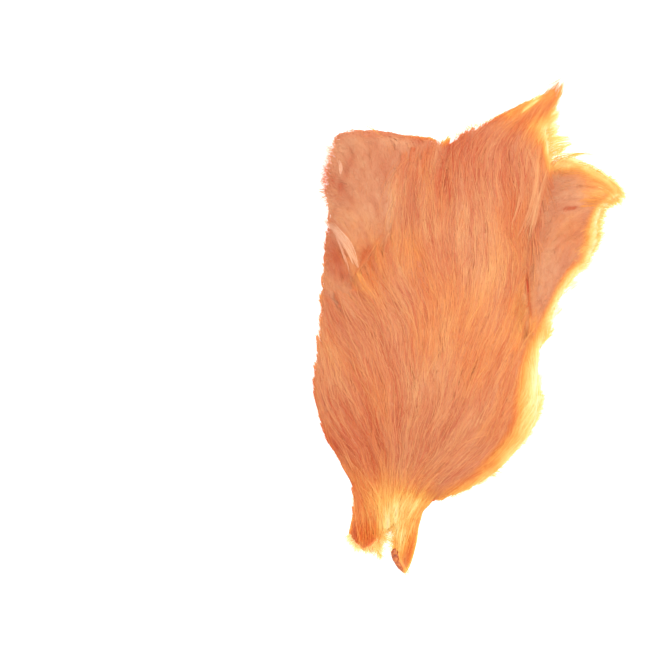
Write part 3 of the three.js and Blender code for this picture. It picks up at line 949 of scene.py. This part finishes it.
# Where both may show: distances from the edge, how far beneath the hackles, and the least height.
downArea = {"edge": (0.7, 99), "beneath": 5, "height": 0.5}  # 99 is past any middle
edgeDownArea = {"edge": (0.05, 3.6), "beneath": 1, "height": 0.3}
# The corners of the shoulders, and the y from which the loose edge is theirs.
shoulders = {"leftShoulder": [(-70, 8), (-6, 92)], "rightShoulder": [(20, -12), (72, 80)]}
shouldersFrom = -3

# Along the upper edge of the left shoulder the feathers lie along it, so its outline is smooth.
upperEdge = softStep(fieldY, 77, 83) * softStep(-edge, -5, -1.5) * softStep(-fieldX, 13, 17)
alongUpperEdge = (-1, 0.08)
turnedX, turnedY = [lerp(combs["leftShoulder"][k], alongUpperEdge[k], upperEdge) for k in (0, 1)]
turnedLength = np.hypot(turnedX, turnedY)
combs["leftShoulder"] = (turnedX / turnedLength, turnedY / turnedLength)


def downAllowed(area, nearby):  # by the edge, the hackles and the height, as the area says
    return inRange(edge, *area["edge"]) & (intoHackles < area["beneath"]) & (nearby > area["height"])


for name, (low, high) in shoulders.items():
    nearby = blurred(heights[name], 2.0) + growth * (fieldY > shouldersFrom)
    ownTop = np.maximum(lockedTop(heights[name], pileTop["downRelief"]), bedTop - downUnder)
    coats = []
    for coat, area in ((shoulderDown, downArea), (edgeDown, edgeDownArea)):
        coat = dict(coat, low=low, high=high)
        coats.append(coatOf(coat, combs[name], ownTop, downAllowed(area, nearby), edge))
    addMesh(name + "_down", *joined(coats), downMaterial, "down")


# Strands: single ribbons along paths, on top of the pile and lifted a little.
def strandsOn(paths, top, width, lift, tones, glows):
    stations = paths.shape[1]
    z = readAlong(top, paths) + lift[:, None]
    points = np.concatenate([paths, z[..., None]], -1)
    across = levelLeftOf(oneLong(np.gradient(paths, axis=1)))
    taper = np.sin(np.linspace(0.25, 1, stations) * math.pi) ** 0.5
    halfWidth = width[:, None] / 2 * taper
    return ribbons(points, halfWidth, across, np.clip(tones, *toneRange), np.clip(glows, 0, 1))


longHairs = {
    "tries": 7000,
    "low": (-72, -92),  # corners of the area over which they are scattered
    "high": (46, 112),
    "length": 16,
    "width": 0.24,
    "wander": 0.26,
    "lift": 1.05,
    "paleShare": 0.7,  # how many are pale, and the tones of the palest and the darkest
    "pale": 0.26,
    "dark": -0.2,
}


# Long hairs: single barbs that stray over the hackles, most of them pale and some in shade.
def longHairsOn(comb, allowed):
    x, y = evenScatter(longHairs["tries"], longHairs["low"], longHairs["high"])
    keep = chosen(allowed, x, y)
    x = x[keep]
    y = y[keep]
    count = len(x)
    length = longHairs["length"] * between(0.5, 1.5, count)
    paths = pathsBack(comb, x, y, length, longHairs["wander"] * random.standard_normal(count), 6)
    paths, length, good = rootedInside(paths, length, rootEdge)
    count = len(paths)
    pale = random.random(count) < longHairs["paleShare"]
    hairTone = np.where(pale, longHairs["pale"], longHairs["dark"]) * random.random(count)
    tones = readAlong(tone, paths) + hairTone[:, None]
    glows = readAlong(glow, paths) + np.where(pale, 0.08, 0)[:, None]
    width = longHairs["width"] * between(0.7, 1.3, count)
    lift = longHairs["lift"] * between(0.8, 1.2, count)
    return strandsOn(paths, bedTop, width, lift, tones, glows)


def curvesThrough(triples, stations):  # a curve from root to tip that leans towards the bend between
    t = np.linspace(0, 1, stations)[None, :, None]
    root, bend, tip = [np.array([triple[k] for triple in triples], float)[:, None, :] for k in range(3)]
    return (1 - t) ** 2 * root + 2 * t * (1 - t) * bend + t * t * tip


# Wisps that stand out of the edge, and two that cover a seam's end: root, bend, tip, width, and how
# golden they are.
wisps = {
    "hairsPerWidth": 11,
    "hairWidth": 0.15,
    "rootShare": 1,  # width at the root, as a share of the full width
    "closing": 0.6,  # how much of the width is lost towards the tip
    "lift": [0.3, 0.9],  # lowest and highest over the pile
    "tone": 0,  # how much lighter than the coat, and how much the hairs differ
    "toneSpread": 0.08,
    "goldInside": 0.6,  # how golden the hairs are over the coat, as a share of their own gold
    "paths": [
        [(16, 90), (36, 100), (43.9, 112.6), 6, 0.3], [(24, 92), (38, 98), (42.6, 108), 6, 0.42],
        [(30, 92), (39, 98), (43.4, 111), 4, 0.4], [(36, 96), (41.5, 101), (43.6, 112), 3, 0.42],
        [(29, 86), (37, 93), (43.4, 96), 3.4, 0.62], [(33, 93), (38, 97), (41.6, 98.4), 2, 0.6],
        [(28, 83), (35, 87.5), (41, 89), 4.4, 0.66], [(30, 80), (39, 85.2), (50, 84.2), 4.2, 0.64],
        [(31, 77), (41, 81), (49, 82.8), 3.8, 0.6], [(33, 74), (40, 78.4), (45.4, 80.6), 3.4, 0.56],
        [(36, 70), (39.6, 74.5), (42, 76.5), 2, 0.4], [(37, 72), (48, 79), (59.4, 76.3), 2, 0.55],
        [(22.5, -16), (27, -8), (28.2, 2), 3.4, 0.2], [(-51, 17), (-45.2, 29), (-36.4, 43.4), 6.5, 0.2],
        [(40, 70), (58, 74), (68.6, 57.5), 7, 0.6], [(52, 67), (64, 65), (69.6, 58.6), 5, 0.6],
        [(50, 58), (60, 58), (68.6, 53.4), 5, 0.6], [(48, 54), (56, 56), (63, 53), 4, 0.6],
        [(55, 69), (67, 63), (72.6, 54), 2.6, 0.66], [(54, 66), (65, 61), (71, 51.6), 2, 0.64],
        [(56, 63), (64, 60), (67.4, 53), 1.6, 0.6],
        [(44, 21), (51, 27), (55.6, 26), 4, 0.95], [(50, 40), (56, 44), (59.5, 43), 4, 0.9],
        [(48, 32), (54, 36), (58, 35), 4, 0.9], [(42, 14), (48, 20), (51, 19), 4, 0.9],
        [(36, 2), (41, 8), (43.5, 9), 4, 0.9], [(30, -10), (35, -4), (37, -2), 5, 0.9],
        [(18, -50), (33, -44), (33.6, -28.8), 6, 0.9], [(26, -36), (34, -30), (32.6, -16), 4, 0.95],
    ],
}
# The cream lock at the left seam with a short one above it, and pale locks on the hackles, in the same
# terms.
creamLocks = {
    "hairsPerWidth": 24,
    "hairWidth": 0.15,
    "rootShare": 0.2,
    "closing": 0.65,
    "lift": [0.2, 0.9],
    "tone": 0.24,
    "toneSpread": 0.16,
    "goldInside": 1,
    "paths": [
        [(-49.3, 25.4), (-53.4, 40), (-67, 49.4), 4.2, 0.05], [(-51.5, 27), (-56, 40), (-64, 46), 2.4, 0.05],
        [(-53, 22), (-55.5, 33), (-61, 43.5), 1.3, 0.04], [(-57.4, 67), (-56.4, 71), (-58.2, 74.4), 2, 0.04],
    ],
}
paleLocks = {
    "hairsPerWidth": 20,
    "hairWidth": 0.2,
    "rootShare": 0.6,
    "closing": 0.7,
    "lift": [0.9, 1.5],
    "tone": 0.22,
    "toneSpread": 0.12,
    "goldInside": 1,
    "paths": [
        [(22, 38), (36, 62), (25.6, 81), 4.6, 0.05], [(26, 32), (31, 56), (37.4, 74), 3, 0.05],
        [(19, 44), (27, 60), (22, 76), 3, 0.05], [(24, 44), (33, 62), (30, 80), 2.4, 0.1],
    ],
}


def outside(paths, full):  # 0 from 3 mm inside the edge, and 1 from full millimetres outside it
    return softStep(-readAlong(edge, paths), -3, full)


# The hairs of bundles: each runs beside its bundle's curve from one share of it to another. They open
# out from the root and close up towards the tip.
def bundleHairs(bundles):
    widths = np.array([bundle[3] for bundle in bundles["paths"]])
    golds = np.array([bundle[4] for bundle in bundles["paths"]])
    counts = (bundles["hairsPerWidth"] * widths).astype(int)
    owner = np.repeat(np.arange(len(counts)), counts)
    count = len(owner)
    first = between(0, 0.6, count)
    last = np.minimum(first + between(0.3, 0.7, count), 1 - between(0, 0.22, count))
    t = np.linspace(0, 1, 6)
    share = lerp(first[:, None], last[:, None], t)
    steps = 20
    smooth = curvesThrough(bundles["paths"], steps + 1)
    place = share * steps
    index = np.clip(place.astype(int), 0, steps - 1)
    start = smooth[owner[:, None], index]
    ahead = smooth[owner[:, None], index + 1] - start
    width = widths[owner]
    gold = golds[owner]
    offset = between(-0.5, 0.5, count) * width
    bow = 0.12 * width * random.standard_normal(count)
    opening = lerp(bundles["rootShare"], 1, softStep(share, 0, 0.4))
    aside = offset[:, None] * opening * (1 - bundles["closing"] * share) + bow[:, None] * t**2
    paths = start + ahead * (place - index)[..., None] + leftOf(oneLong(ahead)) * aside[..., None]
    hairWidth = bundles["hairWidth"] * between(0.6, 1.4, count)
    lift = between(*bundles["lift"], count)
    ownTone = bundles["tone"] + bundles["toneSpread"] * random.standard_normal(count)
    tones = readAlong(tone, paths) + ownTone[:, None]
    # Painted backlight: past the edge, over the bright floor, the hairs are painted in their full gold, as
    # light shines through them, and over the coat in a share of it.
    out = outside(paths, 2)
    goldHere = gold[:, None] * lerp(bundles["goldInside"], 1, out)
    glows = np.maximum(readAlong(glow, paths) * (1 - out), goldHere)
    return strandsOn(paths, bedTop, hairWidth, lift, tones, glows)


# Loose hairs that stand alone beyond the edge: root, bend, tip, and how golden they are.
looseHairs = [
    [(36, 108), (41, 110), (43.9, 112.8), 0.3], [(38.9, 75), (46.5, 78.5), (61, 76.2), 0.3],
    [(36, 76), (44, 78), (56, 77.5), 0.6], [(2, 88), (0, 90), (-1, 90.5), 0.6],
    [(10, 91), (8, 92), (7, 91.8), 0.6], [(58, 62), (66, 60), (70, 52), 0.7],
    [(54, 58), (62, 58), (66.8, 54.6), 0.6], [(46, 30), (52, 27), (55.5, 24.8), 0.6],
    [(-38, 84), (-42, 88), (-50.6, 92.8), 0.36], [(-40, 85), (-42, 88), (-45.6, 92), 0.36],
]


def looseHairStrands():  # one strand for each, more golden towards its tip
    paths = curvesThrough(looseHairs, 8)
    gold = np.array([hair[3] for hair in looseHairs])
    # Painted backlight: each strand is painted golden, more so towards its thin tip, as light from below
    # shines through it.
    glows = gold[:, None] + np.linspace(0, 0.1, 8)
    width = np.full(len(paths), 0.32)
    middle = np.full(len(paths), 0.5)  # both their lift and their tone
    return strandsOn(paths, bedTop, width, middle, middle, glows)


longOnes = longHairsOn(combs["hackles"], hackleAllowed)
loose = joined([longOnes, bundleHairs(wisps), bundleHairs(paleLocks), looseHairStrands()])
addMesh("loose_feathers", *loose, hackleMaterial, "hackles")
addMesh("cream_lock", *bundleHairs(creamLocks), creamMaterial, "hackles")

# Fringes: loose hairs that leave the edge, more of them at the places [x, y, reach, amount]: short ones
# nearly everywhere, long pale ones and broad ones at the right, and reddish ones at the upper left.
# They start within the depth of the edge.
fringe = {"depth": 5, "length": 5, "width": 0.13, "outward": 1, "stray": 0.4, "curl": 0.5, "darker": 0}
fringes = [
    dict(fringe, depth=2.2, length=3.4, outward=0.6, gold=0.62, places=[
        [-30, -20, 200, 0.015], [44, 20, 24, 0.5], [58, 44, 20, 0.5], [64, 64, 14, 0.5], [38, 96, 8, 0.2],
        [-36, -96, 8, 0.4], [6, -68, 20, 0.3], [34, -34, 24, 0.6], [10, 92, 14, 0.12], [-4, 86, 9, 0.12],
    ]),
    dict(fringe, depth=7, length=8, curl=0.6, gold=0.68, places=[
        [36, 92, 5, 0.36], [37, 87, 5, 0.5], [39, 80, 6, 0.5], [50, 71, 6, 0.1],
    ]),
    dict(fringe, width=0.17, outward=0.4, stray=0.3, gold=0.56, darker=0.04, places=[
        [64, 58, 5, 0.7], [59, 50, 5, 0.6], [56, 38, 6, 0.4], [48, 22, 8, 0.3], [34, -6, 5, 0.3],
    ]),
    dict(fringe, length=4.4, outward=1.6, stray=0.5, gold=0.15, places=[
        [-65, 66, 10, 0.34], [-62, 77, 6, 0.24],
    ]),
]
fringeTries = {"count": 400000, "x": (-76, 76), "y": (-116, 116)}


def curlingPaths(x, y, angle, length, curl, stations):  # straight steps, each turned on by the curl
    path = [np.stack([x, y], -1)]
    stride = length / (stations - 1)
    for k in range(stations - 1):
        turned = angle + curl * k / (stations - 1)
        path.append(path[-1] + np.stack([stride * np.cos(turned), stride * np.sin(turned)], -1))
    return np.stack(path, axis=1)


# The hairs of one fringe: of many points, those near the edge are kept by chance, as its places say. Each
# hair leaves its point along the comb, turned outwards, and curls.
def fringeHairs(kind):
    x = random.uniform(*fringeTries["x"], fringeTries["count"])
    y = random.uniform(*fringeTries["y"], fringeTries["count"])
    near = read(edge, x, y)
    amount = placed(kind["places"], x, y)
    keep = inRange(near, 0, kind["depth"]) & (random.random(len(x)) < amount)
    x = x[keep]
    y = y[keep]
    count = len(x)
    slopeY, slopeX = np.gradient(edge, field["step"])
    alongX = read(flow[0], x, y) - kind["outward"] * read(slopeX, x, y)
    alongY = read(flow[1], x, y) - kind["outward"] * read(slopeY, x, y)
    angle = np.arctan2(alongY, alongX) + kind["stray"] * random.standard_normal(count)
    length = kind["length"] * between(0.4, 1.3, count)
    curl = kind["curl"] * random.standard_normal(count)
    paths = curlingPaths(x, y, angle, length, curl, 5)
    width = kind["width"] * between(0.6, 1.4, count)
    tones = read(tone, x, y) - kind["darker"] + 0.12 * random.standard_normal(count)
    # Painted backlight: past the edge the hairs are painted in the fringe's gold, more towards their tips,
    # as light from below shines through them.
    out = outside(paths, 1)
    golds = kind["gold"] * np.linspace(0.75, 1.35, 5)
    glows = lerp(readAlong(glow, paths), golds, out)
    return strandsOn(paths, plainTop, width, between(0.1, 0.6, count), tones, glows)


addMesh("fringe", *joined([fringeHairs(kind) for kind in fringes]), hackleMaterial, "hackles")

# Fluff: fine curly down that leaves the ends of the head strips, from lines [start, end, way in degrees,
# how many, how golden].
fluff = {
    "height": 0.3,
    "length": 3.6,
    "width": 0.1,
    "stray": 0.55,
    "curl": 0.9,
    "depth": 1.6,  # how far behind its line a curl may start
    "lines": [
        [(-53.4, -94.5), (-48, -100), -118, 560, 0.72], [(-46, -100.4), (-41, -96.4), -62, 460, 0.6],
        [(-43, -98.4), (-38.4, -94), -52, 560, 0.58], [(-39, -97), (-37.4, -92), -40, 110, 0.55],
        [(-45.6, -98.6), (-38.6, -99.8), -82, 520, 0.6], [(-43, -95), (-37.6, -95.6), -84, 620, 0.54],
        [(-41, -101), (-38.8, -104), -75, 80, 0.55], [(-33.4, -94), (-33.8, -100), 205, 70, 0.6],
        [(-28.6, -111), (-26.6, -108.5), -60, 40, 0.5], [(-37.4, -92), (-32.8, -92), -90, 120, 0.55],
    ],
}


def fluffStrands():  # curls that leave each line its way, with more short ones than long ones
    low = np.full_like(bedTop, fluff["height"])
    parts = []
    for start, end, degrees, count, gold in fluff["lines"]:
        way = math.radians(degrees)
        share = random.random(count)
        back = fluff["depth"] * random.random(count)
        x = lerp(start[0], end[0], share) - back * math.cos(way)
        y = lerp(start[1], end[1], share) - back * math.sin(way)
        angle = way + fluff["stray"] * random.standard_normal(count)
        length = fluff["length"] * (0.2 + 1.3 * random.random(count) ** 2)
        paths = curlingPaths(x, y, angle, length, fluff["curl"] * random.standard_normal(count), 6)
        width = fluff["width"] * between(0.7, 1.5, count)
        tones = np.maximum(0.15 + 0.2 * random.standard_normal(count), 0.05)
        # Painted backlight: the curls are painted golden, more towards their tips, as light from below
        # shines through them.
        glows = gold + np.linspace(0.06, 0.22, 6) + 0.1 * random.standard_normal((count, 1))
        parts.append(strandsOn(paths, low, width, between(0.2, 2.4, count), tones, glows))
    return joined(parts)


# The dried brown rim of the right strip: a thin roll along its edge, thicker in the middle.
driedRim = {
    "path": [(-32.7, -100.0), (-33.3, -105.4), (-28.4, -111.2)],
    "radius": 2.1,
    "height": 2.9,
    "clear": 1.3,  # how far from the rim's middle the hair starts
    "rings": 30,
    "around": 12,
    "roughness": 0.45,
    "grain": (800, 4),  # scale and detail
    "relief": (0.6, 0.0003),  # strength, and distance in metres
    "colours": [[0.34, (138, 58, 22)], [0.5, (176, 86, 38)], [0.66, (206, 118, 58)]],
}


def fromDriedRim(x, y):  # distance to the nearest of some points along the rim's curve
    away = [np.hypot(x - px, y - py) for px, py in curvesThrough([driedRim["path"]], 24)[0]]
    return np.minimum.reduce(away)


# Fine hair over the two head strips, which leaves the dried rim bare.
stripHair = dict(
    hackles, lengths=[[0, 6]], locksPerArea=0.9, perLock=2, lockLength=2, lockWidth=0.6, lockTone=0.025,
    lockHue=0.02, barbsPerSide=5, firstBarb=0.1, barbLength=4.5, barbWidth=0.24, halfVane=0.8, fullLength=6,
    sink=0.4, lift=0.15, barbLift=0.1, above=0.0, roll=0.08, tilt=0.05, featherTone=0.015, tipTone=0.03,
    low=(-56, -112), high=(-18, -82),
)
bareEdge = np.minimum(stripEdge, fromDriedRim(fieldX, fieldY) - driedRim["clear"])
stripCover = coatOf(stripHair, combs["hackles"], bedTop, inStrips & (fieldY < -82), bareEdge)
addMesh("strip_hair", *joined([stripCover, fluffStrands()]), hackleMaterial, "skin")


def driedMaterial():  # brown skin, with one grain for its colour and its relief
    material, tree = newMaterial("dried skin")
    grain = noiseOf(tree, *driedRim["grain"])
    surface = surfaceOf(tree, {
        "Base Color": ramp(tree, grain, driedRim["colours"]),
        "Roughness": driedRim["roughness"],
        "Normal": bumpOf(tree, grain, *driedRim["relief"]),
    })
    finish(tree, surface)
    return material


# A closed roll: circles carried along a curve, swollen in the middle and drawn to a point at both ends.
def driedRoll():
    rings = driedRim["rings"]
    around = driedRim["around"]
    path = curvesThrough([driedRim["path"]], rings)[0]
    t = np.linspace(0, 1, rings)
    turn = np.linspace(0, 2 * math.pi, around, endpoint=False)
    swelling = (np.clip(t / 0.2, 0, 1) * (1 - t)) ** 0.5
    wrinkles = 1 + 0.05 * np.sin(19 * t) + 0.04 * np.sin(41 * t + 1)
    radius = (driedRim["radius"] * swelling * wrinkles)[:, None]
    side = radius * np.cos(turn)
    flat = path[:, None] + leftOf(oneLong(np.gradient(path, axis=0)))[:, None] * side[..., None]
    z = np.maximum(driedRim["height"] * (1 - 0.5 * t[:, None]) + 0.7 * radius * np.sin(turn), 0.1)
    corners = np.concatenate([flat, z[..., None]], -1).reshape(-1, 3)
    j, i = np.meshgrid(np.arange(rings - 1), np.arange(around), indexing="ij")
    ring = (i + 1) % around
    quads = np.stack([j * around + i, (j + 1) * around + i, (j + 1) * around + ring, j * around + ring], -1)
    uv = np.stack([np.tile(turn / 7, rings), np.repeat(t, around)], -1)  # 7 is a little over a full turn
    return corners, quads.ravel(), np.full((rings - 1) * around, 4), uv


roll = addMesh("dried_rim", *driedRoll(), driedMaterial(), "skin")
weldDistance = 0.00002  # in metres, as the modifiers read it
weld = roll.modifiers.new("ends", "WELD")
weld.merge_threshold = weldDistance


# The bed: the dense under-feathers of a region, as a closed cushion a little under its coat.
beds = {
    "rows": 72,
    "columns": 33,
    "floor": 0.3,
    "thin": 0.1,  # least height of the border over the floor, and of the upper skin over the border
    "leastHalf": 0.3,  # least half width
    # Painted shade: the bed is painted darker than the coat over it, as it lies in the coat's shade.
    "darker": 0.06,  # than the coat over it
    "fuzz": (900, 3),  # scale and detail
    "fuzzTone": 0.25,  # how much the fuzz lightens it
    "relief": (0.4, 0.0004),  # strength, and distance in metres
    "roughness": 0.85,
    "specular": 0.1,
}


def bedMaterial(name, look):  # the coat's bands, read from the bed's own points, with fuzz
    material, tree = newMaterial(name)
    bedGlow = attributeOf(tree, "bedGlow")
    shade = ramp(tree, bedGlow, look["shadow"])
    lit = ramp(tree, bedGlow, look["lit"])
    fuzz = noiseOf(tree, *beds["fuzz"])
    share = tree.nodes.new("ShaderNodeMath")
    share.operation = "MULTIPLY_ADD"
    share.inputs[1].default_value = beds["fuzzTone"]
    tree.links.new(fuzz, share.inputs[0])
    tree.links.new(attributeOf(tree, "bedTone"), share.inputs[2])
    surface = surfaceOf(tree, {
        "Base Color": mixed(tree, share.outputs["Value"], shade, lit),
        "Roughness": beds["roughness"],
        "Specular IOR Level": beds["specular"],
        "Normal": bumpOf(tree, fuzz, *beds["relief"]),
    })
    finish(tree, surface)
    return material


# A bed's two skins share their border: rows run along the region and columns across it by a cosine,
# the upper skin lies under the coat and the lower one on the floor.
def bedOf(name, rows, inset, under, material, slot):
    rows = np.array(rows)
    y = np.linspace(rows[0, 0] + inset, rows[-1, 0] - inset, beds["rows"])[:, None]
    left = np.interp(y, rows[:, 0], rows[:, 1])
    right = np.interp(y, rows[:, 0], rows[:, 2])
    half = np.maximum((right - left) / 2 - inset, beds["leastHalf"])
    across = -np.cos(np.linspace(0, math.pi, beds["columns"]))[None, :]
    x = (left + right) / 2 + half * across
    y = np.broadcast_to(y, x.shape)
    border = np.zeros(x.shape, bool)
    border[[0, -1]] = True
    border[:, [0, -1]] = True
    borderZ = beds["floor"] + beds["thin"]
    smooth = blurred(heights[name], pileTop["smooth"])
    topZ = np.where(border, borderZ, np.maximum(read(smooth, x, y) - under, borderZ + beds["thin"]))
    bottomZ = np.where(border, borderZ, beds["floor"])
    rowCount, columnCount = x.shape
    shareX = (x - x.min()) / (x.max() - x.min())
    shareY = (y - y.min()) / (y.max() - y.min())
    corners = np.concatenate([np.stack([x, y, z], -1).reshape(-1, 3) for z in (topZ, bottomZ)])
    uvStarts = (0.02, 0.51)  # the upper skin has the left half of the map, the lower one the right
    uvWidth = 0.47
    uv = np.concatenate([
        np.stack([start + uvWidth * shareX, shareY], -1).reshape(-1, 2) for start in uvStarts
    ])
    j, i = np.meshgrid(np.arange(rowCount - 1), np.arange(columnCount - 1), indexing="ij")
    a = (j * columnCount + i).ravel()
    upper = np.stack([a, a + 1, a + columnCount + 1, a + columnCount], -1)
    lower = upper[:, ::-1] + rowCount * columnCount
    loops = np.concatenate([upper, lower]).ravel()
    piece = addMesh(name + "_bed", corners, loops, np.full(2 * len(a), 4), uv, material, slot)
    merge = piece.modifiers.new("border", "WELD")
    merge.merge_threshold = weldDistance
    mesh = piece.data
    # Painted shade and backlight: the bed keeps the coat's tone less its painted shade, and the coat's glow.
    for attribute, values in (("bedTone", tone - beds["darker"]), ("bedGlow", glow)):
        layer = mesh.attributes.new(attribute, "FLOAT", "POINT")
        layer.data.foreach_set("value", read(values, corners[:, 0], corners[:, 1]).astype(np.float32))
    return piece


hackleBed = bedMaterial("under feathers", plumage)
shoulderBed = bedMaterial("under down", softDown)
bedOf("hackles", regions["hackles"]["rows"][1:], 2.5, 1.1, hackleBed, "hackles")
bedOf("leftShoulder", regions["leftShoulder"]["rows"], 2.4, 1.1, shoulderBed, "down")
bedOf("rightShoulder", regions["rightShoulder"]["rows"], 2.4, 1.1, shoulderBed, "down")
bedOf("leftStrip", skins["leftStrip"], 0.1, 0.4, hackleBed, "skin")
bedOf("rightStrip", skins["rightStrip"], 0.1, 0.4, hackleBed, "skin")

# The room: a pale floor, a wide soft light and a pale surround.
room = {
    "floorSize": 6,  # in metres, like the other lengths of the room
    "floorDrop": 0.0003,
    "floorGlow": 0.45,
    "surround": 0.93,
    "lightPower": 18.6,
    "lightSize": 1.6,
    "lightPlace": (0.25, 0.3, 1.35),
    "lightTurn": (-12.5, 10.5, 0),  # in degrees, towards the cape
}


def floorMaterial():  # matt and nearly white, with a glow that keeps its shadows pale
    material, tree = newMaterial("pale floor")
    surface = surfaceOf(tree, {
        "Base Color": (0.92, 0.92, 0.92, 1),
        "Roughness": 0.9,
        "Emission Color": (1, 1, 1, 1),
        "Emission Strength": room["floorGlow"],
    })
    finish(tree, surface)
    return material


half = room["floorSize"] / 2
floorMesh = bpy.data.meshes.new("floor")
corners = [(-half, -half), (half, -half), (half, half), (-half, half)]
floorCorners = [(x, y, -room["floorDrop"]) for x, y in corners]
floorMesh.from_pydata(floorCorners, [], [(0, 1, 2, 3)])
floorMesh.materials.append(floorMaterial())
floor = bpy.data.objects.new("floor", floorMesh)
bpy.context.collection.objects.link(floor)

world = bpy.data.worlds.new("pale surround")
world.use_nodes = True
world.node_tree.nodes["Background"].inputs["Color"].default_value = (1, 1, 1, 1)
world.node_tree.nodes["Background"].inputs["Strength"].default_value = room["surround"]
bpy.context.scene.world = world

lampData = bpy.data.lights.new("soft light", "AREA")
lampData.shape = "DISK"
lampData.size = room["lightSize"]
lampData.energy = room["lightPower"]
lamp = bpy.data.objects.new("soft light", lampData)
lamp.location = room["lightPlace"]
lamp.rotation_euler = [math.radians(degrees) for degrees in room["lightTurn"]]
bpy.context.collection.objects.link(lamp)

# The camera looks straight down from the middle of the photo's frame, and its view is that wide.
photo = {"pixels": 650, "mmPerPixel": 0.45, "originX": 467.5, "originY": 325.5}
viewWidth = photo["pixels"] * photo["mmPerPixel"] * mm
cameraX = (photo["pixels"] / 2 - photo["originX"]) * photo["mmPerPixel"] * mm
cameraY = (photo["originY"] - photo["pixels"] / 2) * photo["mmPerPixel"] * mm
cameraHeight = 1.2  # in metres
cameraData = bpy.data.cameras.new("camera")
cameraData.sensor_width = 36
cameraData.lens = cameraData.sensor_width * cameraHeight / viewWidth
camera = bpy.data.objects.new("camera", cameraData)
camera.location = (cameraX, cameraY, cameraHeight)
bpy.context.collection.objects.link(camera)
bpy.context.scene.camera = camera
bpy.context.scene.view_settings.view_transform = "Standard"
print("room and camera ready")
